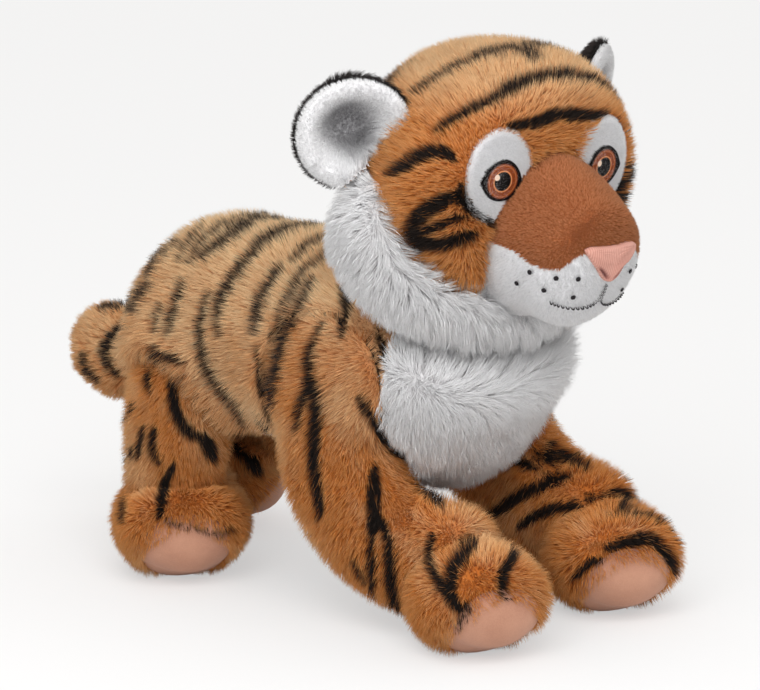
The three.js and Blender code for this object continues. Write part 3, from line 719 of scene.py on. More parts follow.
# %% [markdown]
# ## The pile
# Plush is woven with its pile standing up, then brushed. Blender's hair would be the usual
# way to make it, but only mesh is exported, posed and measured with its skin. So roots are
# scattered evenly over the cloth and combed: strands lean along the nap, wander with their
# neighbours, and gather into tufts.

# %% Comb the pile
FLOOR_GAP = 0.35
SHORTEST, LONGEST = 0.72, 1.12
WIDE_SWAY, FINE_SWAY = 24.0, 7.0


def scatter_roots(skin, count, seed):
    """Random points over the skin, each with its normal and its place in the UV map."""
    rng = np.random.default_rng(seed)
    a, b, c = (skin["corners"][skin["triangles"][:, k]] for k in range(3))
    area = np.linalg.norm(np.cross(b - a, c - a), axis=1) / 2
    pick = rng.choice(len(area), size=count, p=area / area.sum())
    share = rng.random((count, 2))
    flip = share.sum(1) > 1
    share[flip] = 1 - share[flip]
    weights = np.column_stack([1 - share.sum(1), share[:, 0], share[:, 1]])

    def blend_of(values):
        return np.einsum("nk,nkd->nd", weights, values[pick])

    return {
        "roots": blend_of(skin["corners"][skin["triangles"]]),
        "normals": unit(blend_of(skin["normals"][skin["triangles"]])),
        "uv": blend_of(skin["uv"]),
    }


def choose_roots(found, keep):
    return {key: value[keep] for key, value in found.items()}


def comb(found, length, nap, lean, wander, seed, tuft_size=5.0, tuft=0.35, length_at=None):
    """Where each strand's tip lies. A tuft gathers tips towards the one nearest to them."""
    rng = np.random.default_rng(seed)
    roots, normals = found["roots"], found["normals"]
    flow = nap(roots) if callable(nap) else np.broadcast_to(np.array(nap, float), roots.shape)
    flow = flow - (flow * normals).sum(1, keepdims=True) * normals
    sway = waves(roots, WIDE_SWAY, seed + 5) + 0.8 * waves(roots, FINE_SWAY, seed + 6)
    way = unit(normals + lean * flow + wander * sway + rng.normal(0, 0.1, roots.shape))
    size = length * rng.uniform(SHORTEST, LONGEST, len(roots))
    if length_at is not None:
        size = size * length_at(roots)
    tips = roots + way * size[:, None]
    heads = int(len(roots) / (tuft_size ** 2 * 2.0))
    chosen = rng.choice(len(roots), size=heads, replace=False)
    finder = KDTree(heads)
    for k, index in enumerate(chosen):
        finder.insert(Vector(tips[index]), k)
    finder.balance()
    nearest = np.array([finder.find(Vector(tip))[1] for tip in tips])
    pull = tips[chosen[nearest]] - tips
    gap = np.linalg.norm(pull, axis=1, keepdims=True)
    pull *= np.minimum(1, 0.5 * size[:, None] / np.maximum(gap, 1e-6))
    tips = tips + tuft * pull
    tips[:, 2] = np.maximum(tips[:, 2], FLOOR_GAP)
    return tips


print("strands are", SHORTEST, "to", LONGEST, "times the pile's length")

# %% [markdown]
# Each strand is a thin three-sided spike, which costs three triangles; a flat ribbon would
# cost fewer, but vanishes when it is looked at edge on. Some strands are bent guard hairs
# with a ring halfway up, which break up the straight ones.

# %% Grow strands of mesh
SINK = 0.6
SIDES_OF_STRAND = np.array([[0, 1, 3], [1, 2, 3], [2, 0, 3]])
SIDES_OF_GUARD_HAIR = np.array(
    [[k, (k + 1) % 3, 3 + (k + 1) % 3] for k in range(3)]
    + [[k, 3 + (k + 1) % 3, 3 + k] for k in range(3)]
    + [[3 + k, 3 + (k + 1) % 3, 6] for k in range(3)])


def ring_round(middle, way, radius, turn):
    """Three points round each strand."""
    helper = np.where(np.abs(way[:, 2:3]) > 0.9, [[1.0, 0, 0]], [[0, 0, 1.0]])
    side = unit(np.cross(way, helper))
    other = np.cross(way, side)
    rings = []
    for k in range(3):
        angle = turn + k * 2 * math.pi / 3
        offset = np.cos(angle)[:, None] * side + np.sin(angle)[:, None] * other
        rings.append(middle + radius[:, None] * offset)
    return np.stack(rings, axis=1)


def strands(found, tips, width, guard, seed):
    """Spikes from roots to tips, as corners, triangles, and each corner's place on its strand."""
    rng = np.random.default_rng(seed)
    count = len(tips)
    roots = found["roots"] - found["normals"] * SINK
    radius = width / 2 * rng.uniform(0.7, 1.25, count)
    turn = rng.uniform(0, 6.28, count)
    bent = rng.random(count) < guard
    middle = roots + (tips - roots) * 0.5
    bulge = found["normals"] * np.linalg.norm(tips - roots, axis=1, keepdims=True)
    middle = middle + bulge * 0.14 + rng.normal(0, 0.35, middle.shape)
    middle[:, 2] = np.maximum(middle[:, 2], FLOOR_GAP)
    first = np.where(bent[:, None], middle, tips) - roots
    low = ring_round(roots, unit(first), radius, turn)
    high = ring_round(middle, unit(tips - middle), radius * 0.85, turn)
    straight = np.concatenate([low[~bent], tips[~bent][:, None]], axis=1)
    curved = np.concatenate([low[bent], high[bent], tips[bent][:, None]], axis=1)
    plain, guards = np.nonzero(~bent)[0], np.nonzero(bent)[0]
    spikes = (np.arange(len(plain)) * 4)[:, None, None] + SIDES_OF_STRAND
    hairs = (np.arange(len(guards)) * 7)[:, None, None] + SIDES_OF_GUARD_HAIR + len(plain) * 4
    face_owner = np.concatenate([np.repeat(plain, 3), np.repeat(guards, 9)])
    return {
        "corners": np.concatenate([straight.reshape(-1, 3), curved.reshape(-1, 3)]),
        "triangles": np.concatenate([spikes.reshape(-1, 3), hairs.reshape(-1, 3)]),
        "uv": np.repeat(found["uv"][face_owner][:, None], 3, axis=1),
        "along": np.concatenate([np.tile([0, 0, 0, 1.0], len(plain)),
                                 np.tile([0, 0, 0, 0.5, 0.5, 0.5, 1.0], len(guards))]),
        "owner": np.concatenate([np.repeat(plain, 4), np.repeat(guards, 7)]),
    }


print("a strand has", len(SIDES_OF_STRAND), "triangles, a guard hair", len(SIDES_OF_GUARD_HAIR))

# %% [markdown]
# ## Putting a furry piece together
# Cloth and pile are one thing, so one mesh holds the skin and its strands. Colours could be
# painted on it, but would then be fixed; instead four numbers are kept on each corner for the
# material to read: how far up the strand it is, how dark the stripes and two strokes of painted
# shade make it, a number of the strand's own, and how much of a second tone is mixed in, which
# is cream with a painted highlight on the coat and painted shade in an ear's hollow.

# %% Assemble pieces
SKIN_ALONG = 0.42
SCATTER = 0.5
LOW_SPOT = 0.3, 0.7


def fill_in(target, what, numbers, kind=np.float32):
    target.foreach_set(what, np.ascontiguousarray(numbers, kind).ravel())


def mesh_from_arrays(name, corners, triangles, uv, values):
    mesh = bpy.data.meshes.new(name)
    mesh.vertices.add(len(corners))
    fill_in(mesh.vertices, "co", corners)
    mesh.loops.add(triangles.size)
    fill_in(mesh.loops, "vertex_index", triangles, np.int32)
    mesh.polygons.add(len(triangles))
    fill_in(mesh.polygons, "loop_start", np.arange(0, triangles.size, 3), np.int32)
    mesh.update(calc_edges=True)
    fill_in(mesh.uv_layers.new(name="OFBake").uv, "vector", uv)
    for key_name, column in values.items():
        fill_in(mesh.attributes.new(key_name, "FLOAT", "POINT").data, "value", column)
    mesh.validate()
    mesh.shade_smooth()
    return mesh


def used_only(corners, triangles, *columns):
    """Drops the corners that no triangle uses."""
    used = np.unique(triangles)
    fresh = np.full(len(corners), -1)
    fresh[used] = np.arange(len(used))
    return corners[used], fresh[triangles], [column[used] for column in columns]


def place_piece(name, mesh, material, body, slot, replaced=(), fill=None):
    """Puts a mesh into the scene, on the body it rides."""
    mesh.materials.append(material)
    piece = bpy.data.objects.new(name, mesh)
    bpy.context.collection.objects.link(piece)
    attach(piece, body)
    if replaced:
        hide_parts(*replaced)
    print(name, "on", body, "has", len(mesh.polygons), "faces")


def furry(name, skin, roots, tips, width, material, body, seed, in_head=False, guard=0.12,
          stripes_and_shade=(), tone_and_painted_light=None, **place):
    """Grows strands on a skin and makes one piece of both."""
    rng = np.random.default_rng(seed + 77)
    pile = strands(roots, tips, width, guard, seed)
    skin_corners, skin_faces, (skin_normals,) = used_only(
        skin["corners"], skin["triangles"], skin["normals"])
    reach = np.linalg.norm(tips - roots["roots"], axis=1).mean()
    shown = skin_corners + skin_normals * reach * 0.6
    skin_dark = darkness(shown, skin_normals, stripes_and_shade, 0.0, seed)
    low_spots = roots["roots"] * LOW_SPOT[0] + tips * LOW_SPOT[1]
    low_dark = darkness(low_spots, roots["normals"], stripes_and_shade, SCATTER, seed)
    tip_dark = darkness(tips, roots["normals"], stripes_and_shade, SCATTER, seed)
    pile_dark = np.where(pile["along"] > 0.9, tip_dark[pile["owner"]], low_dark[pile["owner"]])
    own = rng.random(len(tips))
    # the second tone: the coat's cream with a painted highlight on top, painted shade in an ear's
    # hollow
    tip_tone_and_light, skin_tone_and_light = np.zeros(len(tips)), np.zeros(len(skin_corners))
    if tone_and_painted_light is not None:
        tip_tone_and_light = np.clip(tone_and_painted_light(tips) + rng.normal(0, 0.1, len(tips)), 0, 1)
        skin_tone_and_light = np.clip(tone_and_painted_light(skin_corners), 0, 1)
    count = len(skin_corners)
    corners = np.concatenate([skin_corners, pile["corners"]])
    triangles = np.concatenate([skin_faces, pile["triangles"] + count])
    uv = np.concatenate([skin["uv"], pile["uv"]])
    values = {
        "along": np.concatenate([np.full(count, SKIN_ALONG), pile["along"]]),
        "stripe_and_shade": np.concatenate([skin_dark, pile_dark]),
        "own": np.concatenate([np.full(count, 0.5), own[pile["owner"]]]),
        "tone_and_painted_light": np.concatenate([skin_tone_and_light, tip_tone_and_light[pile["owner"]]]),
    }
    mesh = mesh_from_arrays(name, to_frame(corners, in_head), triangles, uv, values)
    place_piece(name, mesh, material, body, **place)


print("a skin's colour is that of a strand at", SKIN_ALONG, "of its height")

# %% [markdown]
# ## Cloth that looks like cloth
# A strand of plush is darker at its root, where light hardly reaches, and paler at its tip.
# Here both are painted into the colour: painted shade at the root, a painted highlight at the tip.
# Painting that by hand on two million triangles is hopeless, so the shader reads the four
# numbers on each corner and mixes dyes by them. Fine noise breaks up what is left even, and
# a soft sheen stands for the fuzz that is too fine to model.

# %% Mix the dyes
def dye(red, green, blue):
    """A colour as read off a screen, 0 to 255, turned into light."""
    return tuple(((c / 255 + 0.055) / 1.055) ** 2.4 if c > 10 else c / 3294.6
                 for c in (red, green, blue)) + (1,)


def new_material(name, roughness, sheen=0.0):
    material = bpy.data.materials.new(name)
    material.use_nodes = True
    tree = material.node_tree
    shader = tree.nodes["Principled BSDF"]
    for inlet, value in (("Roughness", roughness), ("Specular IOR Level", 0.06),
                         ("Sheen Weight", sheen), ("Sheen Roughness", 0.6)):
        shader.inputs[inlet].default_value = value
    return material, tree, shader


def read_number(tree, name):
    node = add_node(tree, "Attribute")
    node.attribute_name = name
    return node.outputs["Fac"]


def mix(tree, factor, first, second, kind="MIX"):
    node = add_node(tree, "Mix")
    node.data_type = "RGBA"
    node.blend_type = kind
    for inlet, value in (("Factor", factor), ("A", first), ("B", second)):
        socket = next(s for s in node.inputs if s.name == inlet and s.enabled)
        if isinstance(value, (tuple, float, int)):
            socket.default_value = value
        else:
            tree.links.new(value, socket)
    return next(s for s in node.outputs if s.enabled)


def math_node(tree, kind, *values):
    node = add_node(tree, "Math")
    node.operation = kind
    for inlet, value in zip(node.inputs, values):
        if isinstance(value, (float, int)):
            inlet.default_value = value
        else:
            tree.links.new(value, inlet)
    return node.outputs[0]


def times(tree, first, second):
    return math_node(tree, "MULTIPLY", first, second)


def noise(tree, scale, detail, roughness=0.6):
    """Noise in the object's own metres, so it keeps its size when the toy is posed."""
    place = add_node(tree, "TexCoord")
    node = add_node(tree, "TexNoise", Scale=scale, Detail=detail, Roughness=roughness)
    tree.links.new(place.outputs["Object"], node.inputs["Vector"])
    return node.outputs["Fac"]


def ramp(tree, factor, low, high):
    """Stretches a number so that low becomes 0 and high becomes 1."""
    node = add_node(tree, "MapRange", **{"From Min": low, "From Max": high})
    tree.links.new(factor, node.inputs["Value"])
    return node.outputs["Result"]


def bumped(tree, shader, height, strength, distance):
    """Lets a number stand out of the surface, for grain and ribs too fine for the mesh."""
    bump = add_node(tree, "Bump", Strength=strength, Distance=distance)
    tree.links.new(height, bump.inputs["Height"])
    tree.links.new(bump.outputs["Normal"], shader.inputs["Normal"])


print("a mid tan is", [round(v, 3) for v in dye(205, 132, 70)[:3]])

# %% [markdown]
# The striped coat needs three dyes: tan, a cream where the real cloth is airbrushed paler
# (along the top the cream is a painted highlight), and a near black. A few stray pale fibres
# in the black keep the stripes from looking cut out of paper. The other cloths are one dye
# each, in three depths for root, body and tip: the root darkened by painted shade, the tip
# paled by a painted highlight.

# %% Dye the piles
def pile_material(name, roots, body, tips, tone_and_painted_light=None, black=None, blotch=0.0, stray=0.0,
                  speckle=0.16):
    """Dyes for a pile: each strand has its own brightness, spread by the speckle."""
    material, tree, shader = new_material(name, 0.78, sheen=0.03)
    along, own = read_number(tree, "along"), read_number(tree, "own")
    # darker at the root and paler at the tip: painted shade deep in the pile, a painted highlight
    # on the tips
    colour = mix(tree, ramp(tree, along, 0.0, 0.55), dye(*roots), dye(*body))
    colour = mix(tree, ramp(tree, along, 0.45, 1.0), colour, dye(*tips))
    # a second tone: cream with a painted highlight on the coat, a grey of painted shade on the ear
    # lining
    if tone_and_painted_light:
        tone_share = times(tree, read_number(tree, "tone_and_painted_light"), ramp(tree, along, -0.2, 0.7))
        colour = mix(tree, tone_share, colour, dye(*tone_and_painted_light))
    if blotch:
        patchy = ramp(tree, noise(tree, 45.0, 3.0), 0.35, 0.65)
        colour = mix(tree, times(tree, patchy, blotch), colour, dye(*roots))
    if black:
        stripe_and_shade = read_number(tree, "stripe_and_shade")
        kept = math_node(tree, "GREATER_THAN", own, stray)
        stripe_and_shade = times(tree, stripe_and_shade, ramp(tree, kept, -0.8, 1.0))
        # the black also has painted shade at the root and a painted highlight at the tip
        colour = mix(tree, stripe_and_shade, colour, mix(tree, along, dye(*black[0]), dye(*black[1])))
    speck = ramp(tree, noise(tree, 900.0, 2.0), 0.3, 0.7)
    spread = math_node(tree, "ADD", times(tree, own, speckle), times(tree, speck, 0.1))
    light = math_node(tree, "SUBTRACT", 1.04 + speckle / 2, spread)
    grey = add_node(tree, "CombineColor")
    for inlet in grey.inputs:
        tree.links.new(light, inlet)
    colour = mix(tree, 1.0, colour, grey.outputs[0], "MULTIPLY")
    tree.links.new(colour, shader.inputs["Base Color"])
    return material


striped_coat = pile_material(
    "striped_coat", (154, 82, 32), (212, 130, 60), (238, 172, 104),
    tone_and_painted_light=(255, 222, 174), black=((20, 16, 14), (46, 38, 34)), blotch=0.18, stray=0.03)
# its second tone is a grey of painted shade, mixed in only in an ear's hollow
white_plush = pile_material(
    "white_plush", (236, 234, 235), (247, 247, 248), (253, 253, 254), tone_and_painted_light=(114, 112, 116))
black_plush = pile_material("black_plush", (22, 20, 20), (42, 38, 37), (72, 65, 63))
brown_nap = pile_material("brown_nap", (122, 68, 38), (172, 104, 64), (204, 138, 96),
                          speckle=0.42)
white_nap = pile_material("white_nap", (228, 228, 230), (247, 247, 249), (254, 254, 255))
print("dyed", [m.name for m in (striped_coat, white_plush, black_plush, brown_nap, white_nap)])

# %% [markdown]
# ## The forms of the legs
# A leg is a sewn tube, stuffed, that ends in a broad paw. It could be a bent cylinder or a
# sculpt; a loft down a curve from hip over knee to ankle keeps each size a number. The forms
# come before the torso, because the legs press on it. A foreleg has a round cap about its
# hip as well: coat that is drawn over the seam, and that stays in place when the leg swings.

# %% Shape the legs
SKIN_UNDER_PILE = -4.0
LEG_WIDTH, LEG_DEPTH, HIP_OUT, SIDE_FLAT = 50, 60, 49, 34.5
PAW_LENGTH, PAW_WIDTH, PAW_HEIGHT, ANKLE_HEIGHT = 76, 66, 58, 37
LEG_ROWS = [(0, 0.47, 0.5), (0.35, 0.5, 0.52), (0.7, 0.52, 0.47), (1, 0.56, 0.44)]
PAW_ROWS = [(-0.28, 0.4, 0.4, 0.4), (0.0, 0.48, 0.5, 0.48), (0.24, 0.54, 0.48, 0.39)]
FORE = {"hip": (0.658, 0.412), "knee": (0.675, 0.48), "out": 1.0, "back": 0.28,
        "beside": 0.843, "girth": 1.08}
HIND = {"hip": (0.196, 0.2), "knee": (0.19, 0.88), "out": 0.82, "back": 0.1,
        "beside": 0.48, "girth": 0.92}
LEGS = {
    "foreleg_right": {**FORE, "side": -1, "paw": 1.056, "toes": -26},
    "foreleg_left": {**FORE, "side": 1, "knee": (0.78, 0.55), "paw": 1.08, "toes": -30},
    "hindleg_right": {**HIND, "side": -1, "paw": 0.187, "toes": -42},
    "hindleg_left": {**HIND, "side": 1, "paw": -0.02, "toes": 30},
}
SWING = math.radians(12)


def leg_place(leg):
    y = leg["side"] * leg["out"] * HIP_OUT
    turn = math.radians(leg["toes"])
    hip = np.array([RUMP + leg["hip"][0] * TORSO_LENGTH, y, BELLY + leg["hip"][1] * TORSO_HEIGHT])
    knee = np.array([RUMP + leg["knee"][0] * TORSO_LENGTH, y, leg["knee"][1] * BELLY])
    paw = np.array([RUMP + leg["paw"] * TORSO_LENGTH, y, 0.0])
    toes = np.array([math.cos(turn), math.sin(turn), 0.0])
    ankle = paw - toes * leg["back"] * PAW_LENGTH + np.array([0, 0, ANKLE_HEIGHT])
    return {"hip": hip, "knee": knee, "paw": paw, "toes": toes, "ankle": ankle}


def shaft_form(leg, grow):
    hip, knee, ankle = (leg_place(leg)[joint] for joint in ("hip", "knee", "ankle"))
    depth = LEG_DEPTH * leg["girth"]
    spots = [(1 - t) ** 2 * hip + 2 * t * (1 - t) * knee + t ** 2 * ankle for t, _, _ in LEG_ROWS]
    girths = [(w * LEG_WIDTH, d * depth) for _, w, d in LEG_ROWS]
    return swell(spots, girths, (0.5 * depth, 0.3 * depth), grow)


def paw_form(leg, grow):
    place = leg_place(leg)
    flats = math.cos(math.radians(15))
    spots = [place["paw"] + place["toes"] * a * PAW_LENGTH + (0, 0, r * PAW_HEIGHT * flats - 0.5)
             for a, r, _, _ in PAW_ROWS]
    girths = [(w * PAW_WIDTH, h * PAW_HEIGHT) for _, _, w, h in PAW_ROWS]
    across = np.cross((0, 0, 1), place["toes"])
    return swell(spots, girths, (0.22 * PAW_LENGTH, 0.26 * PAW_LENGTH), grow, across)


def swung(points, hip, angle):
    """Turns points about a line through the hip, square to the toy's middle plane."""
    turn = np.array(Matrix.Rotation(angle, 3, "Y"))
    return (points - hip) @ turn.T + hip


def shoulder_form(leg, grow):
    """A round, domed cap about the hip: it turns with the leg and stays where it is."""
    hip = leg_place(leg)["hip"]
    spots = [(hip[0] + 4, leg["side"] * y, hip[2] + 2) for y in (54, 58, 62)]
    return swell(np.array(spots), [(39, 39), (38, 38), (30, 30)], (2, 8), grow, across=(1, 0, 0))


shafts = {name: tree_of(shaft_form(leg, 1.5)) for name, leg in LEGS.items()}
print("legs shaped:", list(shafts))

# %% [markdown]
# ## Torso
# The body is one stuffed tube. Where a leg presses on the side, the cloth is pushed in, flat
# enough for the leg to swing past. Cloth simulation could press it, but asking which points
# lie inside the leg at any angle of its swing is exact. Round the leg the cloth swells a
# little, less ahead of a foreleg, so that the two piles meet without a crease. On top, the
# body is cut flat where the neck sits, and the throat is stuffed out to carry the ruff.

# %% Shape the torso
RIM, RIM_REACH, COLLAR_GAP = 11.0, 42.0, 6.0
HOLLOW_FROM, HOLLOW_TO = 33, 33.2
THROAT_SWELL, THROAT_DEPTH = 5.0, 26


def press_legs_in(points):
    """Pushes the torso in where a leg lies at any angle of its swing, and swells it round."""
    pressed = points.copy()
    outer = np.abs(points[:, 1]) > 30
    for name, leg in LEGS.items():
        hip = leg_place(leg)["hip"]
        index = np.nonzero(outer & (points[:, 1] * leg["side"] > 0))[0]
        deepest = np.full(len(index), -99.0)
        for angle in (-SWING, -SWING / 2, 0, SWING / 2, SWING):
            back = swung(points[index], hip, angle)
            deepest = np.maximum(deepest, depth_in(shafts[name], back))
        share = np.clip(1 + (deepest + 1) / RIM_REACH, 0, 1)
        high = fade(points[index, 2] - hip[2], -45, 35)
        away = points[index] - (0, 0, TORSO_MIDDLE)
        away[:, 0] = 0
        ahead = fade(points[index, 0] - hip[0], 12, 22) * (hip[0] > 0)
        pressed[index] += unit(away) * (RIM * share ** 2 * high * (1 - 0.7 * ahead))[:, None]
        inner = index[(deepest > -1.0) & (np.abs(points[index, 1]) > HOLLOW_FROM)]
        pressed[inner, 1] = leg["side"] * HOLLOW_TO
    return pressed


torso_cut = cut_flat(torso_form(SKIN_UNDER_PILE), NECK - NECK_AXIS * COLLAR_GAP, NECK_AXIS)
melted_points, torso_faces = melt([torso_cut])
torso_points = press_legs_in(melted_points)
below = (NECK - torso_points) @ NECK_AXIS - COLLAR_GAP
throat = (1 - fade(below, 0, THROAT_DEPTH)) * fade(torso_points[:, 0], NECK[0], 30)
outward_there = unit(torso_points - (NECK[0] - 20, 0, TORSO_MIDDLE))
torso_skin = flatten_skin((torso_points + outward_there * (THROAT_SWELL * throat)[:, None],
                           torso_faces))
print("torso skin has", len(torso_skin["triangles"]), "triangles")

# %% [markdown]
# The white bib runs from the throat between the forelegs and on under the belly. Its edge
# follows the pattern's outline, and the two coat panels, which meet in a seam down the back,
# are what is left and right of it. A knife tool could cut along the outline; choosing
# triangles is enough, because the pile hides a ragged cut.

# %% Cut the panels
BIB_HEIGHTS = [72.0, 91.3, 109.7, 136.2, 189.2]
BIB_HALVES = [30.0, 54.0, 66.0, 74.4, 74.4]
BIB_BACK, STRIP_BACK, STRIP_TOP, STRIP_HALF = 66.5, -54.3, 100.5, 24.8


def in_bib(points):
    """True in the bib, between its edges, and in the strip under the belly."""
    wide = np.interp(points[:, 2], BIB_HEIGHTS, BIB_HALVES)
    front = (points[:, 0] > BIB_BACK) & (np.abs(points[:, 1]) < wide)
    strip = (points[:, 0] > STRIP_BACK) & (np.abs(points[:, 1]) < STRIP_HALF)
    return front | (strip & (points[:, 2] < STRIP_TOP))


middles = centres(torso_skin)
white_part = in_bib(middles)
panels = {
    "torso_right": part_of(torso_skin, ~white_part & (middles[:, 1] < 0)),
    "torso_left": part_of(torso_skin, ~white_part & (middles[:, 1] >= 0)),
    "chest": part_of(torso_skin, white_part),
}
print({name: len(panel["triangles"]) for name, panel in panels.items()})

# %% [markdown]
# Pile doesn't grow where cloth presses on cloth, so roots that lie in a leg or under its
# shoulder cap are left out. The nap of the back runs to the tail and down, as a hand would
# stroke it; over a hind leg's seam it is longer and runs towards the leg, and at the bib's
# edge it runs forward, so that no bare line shows.

# %% Grow the torso's pile
PILE, PILE_WIDTH = 9.0, 0.44
COAT_ROOTS = 56000
DENSITY = 1.0


def clear_of(found, *trees, margin=1.0):
    """Leaves out the roots that lie deeper than the margin in any of the forms."""
    keep = np.ones(len(found["roots"]), bool)
    for tree in trees:
        keep &= depth_in(tree, found["roots"]) < margin
    return choose_roots(found, keep)


def roots_on(skin, count, seed, *trees, margin=1.0):
    return clear_of(scatter_roots(skin, int(count * DENSITY), seed), *trees, margin=margin)


def cream_and_highlight(points):
    """Where the coat is paler: in soft cloudy patches of cream, and more along the top, where the
    paleness is a painted highlight.
    """
    cloud = waves(points, 30.0, 5)[:, 0] + 0.6 * waves(points, 11.0, 6)[:, 1]
    height = np.clip((points[:, 2] - 60) / 110, -0.3, 1)
    return np.clip(0.1 + 0.4 * height + 0.35 * cloud, 0, 1)


def back_cream_and_highlight(points):
    # paler all over the back, and most along its top, where it is a painted highlight
    return np.clip(cream_and_highlight(points) + 0.3 + 0.3 * fade(points[:, 2], 150, 25), 0, 1)


def over_the_seam(side):
    """The torso's nap and length: back and down, but longer and towards the hind leg."""
    hip, tree = leg_place(LEGS[f"hindleg_{side}"])["hip"], shafts[f"hindleg_{side}"]

    def nearness(points):
        return np.exp(-(np.minimum(depth_in(tree, points), 0) / 10) ** 2)

    def nap(points):
        ahead = fade(points[:, 0:1], 48, 12) * (points[:, 2:3] < 165)
        flow = np.array([-0.8, 0, -0.5]) * (1 - ahead) + np.array([0.9, 0, -0.4]) * ahead
        near = nearness(points)[:, None] * (points[:, 2:3] > hip[2] - 12)
        return flow * (1 - near) + unit(hip - points) * near * 1.3

    return nap, lambda points: 1 + 0.5 * nearness(points)


right_stripes_and_shade = sum((STRIPES_AND_SHADE[group] for group in (
    "torso", "foreleg_right", "hindleg_right", "unseen_body")), [])
for side, way, nodes in (("right", -1, ("torso_coat", "torso_filling")),
                         ("left", 1, ("torso_coat",))):
    panel = panels[f"torso_{side}"]
    nap, length = over_the_seam(side)
    cap = tree_of(shoulder_form(LEGS[f"foreleg_{side}"], 0))
    roots = roots_on(panel, COAT_ROOTS, 21 + (way < 0), shafts[f"foreleg_{side}"],
                     shafts[f"hindleg_{side}"], margin=5.0)
    roots = clear_of(roots, cap, margin=0.0)
    tips = comb(roots, PILE, nap, lean=0.85, wander=0.27, seed=21, tuft_size=4.0,
                tuft=0.15, length_at=length)
    furry(f"torso_{side}", panel, roots, tips, PILE_WIDTH, striped_coat, "torso", 31,
          stripes_and_shade=right_stripes_and_shade if way < 0 else mirrored(right_stripes_and_shade),
          tone_and_painted_light=back_cream_and_highlight, replaced=nodes, slot="striped_coat", fill=0.85, guard=0.08)

# %% [markdown]
# On the real toy the bib's pile and the ruff's run into one another and hide the neck. Longer
# pile all over would hide it too, but blur the bib's edge. So the pile hangs straight down,
# and only at the collar is it longer and stands up to meet the ruff.

# %% Grow the bib
def to_collar(points):
    """1 at the collar's cut, where the chest's pile stands up to meet the ruff, 0 below."""
    below = (NECK - points) @ NECK_AXIS - COLLAR_GAP
    return 1 - fade(below, 0, 16)


def chest_nap(points):
    upright = to_collar(points)[:, None]
    return np.array([0.1, 0, -1]) * (1 - upright) + np.array([0.4, 0, 0.9]) * upright


roots = roots_on(panels["chest"], COAT_ROOTS, 15, *shafts.values(), margin=4.0)
tips = comb(roots, PILE + 1, chest_nap, lean=0.85, wander=0.27, seed=22, tuft=0.25,
            length_at=lambda p: 1 + 0.7 * to_collar(p))
furry("chest_panel_piece", panels["chest"], roots, tips, PILE_WIDTH, white_plush, "torso", 32,
      replaced=("chest_panel",), slot="white_plush", fill=0.85, guard=0.05)

# %% [markdown]
# ## Neck
# The head sits on a stuffed ball, which is why it can turn and nod; a bent tube would crease.
# Only a band of it ever shows. Its throat, under the ruff, carries the ruff's white pile, and
# its nape, behind, the coat's tan.

# %% Stuff the neck
NECK_RADIUS = 36


def ball_form(middle, radius):
    return swell([middle - NECK_AXIS * 0.5, middle + NECK_AXIS * 0.5], [(radius, radius)] * 2,
                 (radius - 0.5, radius - 0.5), caps=12, rings=2)


neck_skin = flatten_skin(ball_form(NECK, NECK_RADIUS - 3))
seam = NECK[0] + 2
roots = roots_on(neck_skin, 12000, 41, tree_of(head_form(-4)), tree_of(torso_form(-4)))
tips = comb(roots, 4.0, (0, 0, -1), lean=0.6, wander=0.3, seed=42)
for name, way, dyed, slot in (("neck_throat", 1, white_plush, "white_plush"),
                              ("neck_nape", -1, striped_coat, "striped_coat")):
    half = part_of(neck_skin, (centres(neck_skin)[:, 0] - seam) * way > 0)
    mine = (roots["roots"][:, 0] - seam) * way > 0
    furry(name, half, choose_roots(roots, mine), tips[mine], PILE_WIDTH, dyed, "neck", 43,
          tone_and_painted_light=cream_and_highlight if way < 0 else None, replaced=("neck_coat", "neck_filling"), slot=slot,
          fill=0.9)

# %% [markdown]
# ## Legs
# The tube, the paw and a foreleg's cap are melted into one skin, and the side that lies
# against the body is pressed flat. A leg's pad is an oval on the front of its sole. Its edge
# could be a loop of edges in the mesh; here it is looked at along a slanting line, and each
# point says how far out in the oval it lies. Where the pad is sewn on, no pile grows.

# %% Seat the pads
PAD_WIDTH, PAD_LENGTH, PAD_TILT = 50, 50, math.radians(50)


def pad_seat(leg):
    place = leg_place(leg)
    way = place["toes"] * math.sin(PAD_TILT) - np.array([0, 0, math.cos(PAD_TILT)])
    start = place["paw"] + place["toes"] * 0.1 * PAW_LENGTH + (0, 0, PAW_HEIGHT / 2)
    return start + way * 0.07 * PAW_HEIGHT, way


def patch_axes(way):
    side = unit(np.cross((0, 0, 1), way))
    return side, np.cross(way, side)


def in_oval(points, start, way, wide, high):
    """How far out each point lies in an oval looked at along a direction: 1 is its edge."""
    side, up = patch_axes(way)
    gap = points - start
    share = np.hypot(gap @ side / (wide / 2), gap @ up / (high / 2))
    share[gap @ way < 0] = FAR
    return share


def press_side_flat(points, leg):
    hip = leg_place(leg)["hip"]
    reach = np.hypot(points[:, 0] - hip[0], points[:, 2] - hip[2])
    out = points[:, 1] * leg["side"]
    pressed = points.copy()
    low = (reach < leg["beside"] * TORSO_HEIGHT) & (out < SIDE_FLAT)
    pressed[low, 1] = leg["side"] * SIDE_FLAT
    return pressed


print("pads face", round(math.degrees(PAD_TILT)), "degrees up from straight down")

# %% [markdown]
# The pile of the shaft runs down; on the paw it runs out over the toes and hangs over the
# edge of the sole, where it is trimmed short. Beside the body it spreads outward from the
# hip, so that it covers the seam.

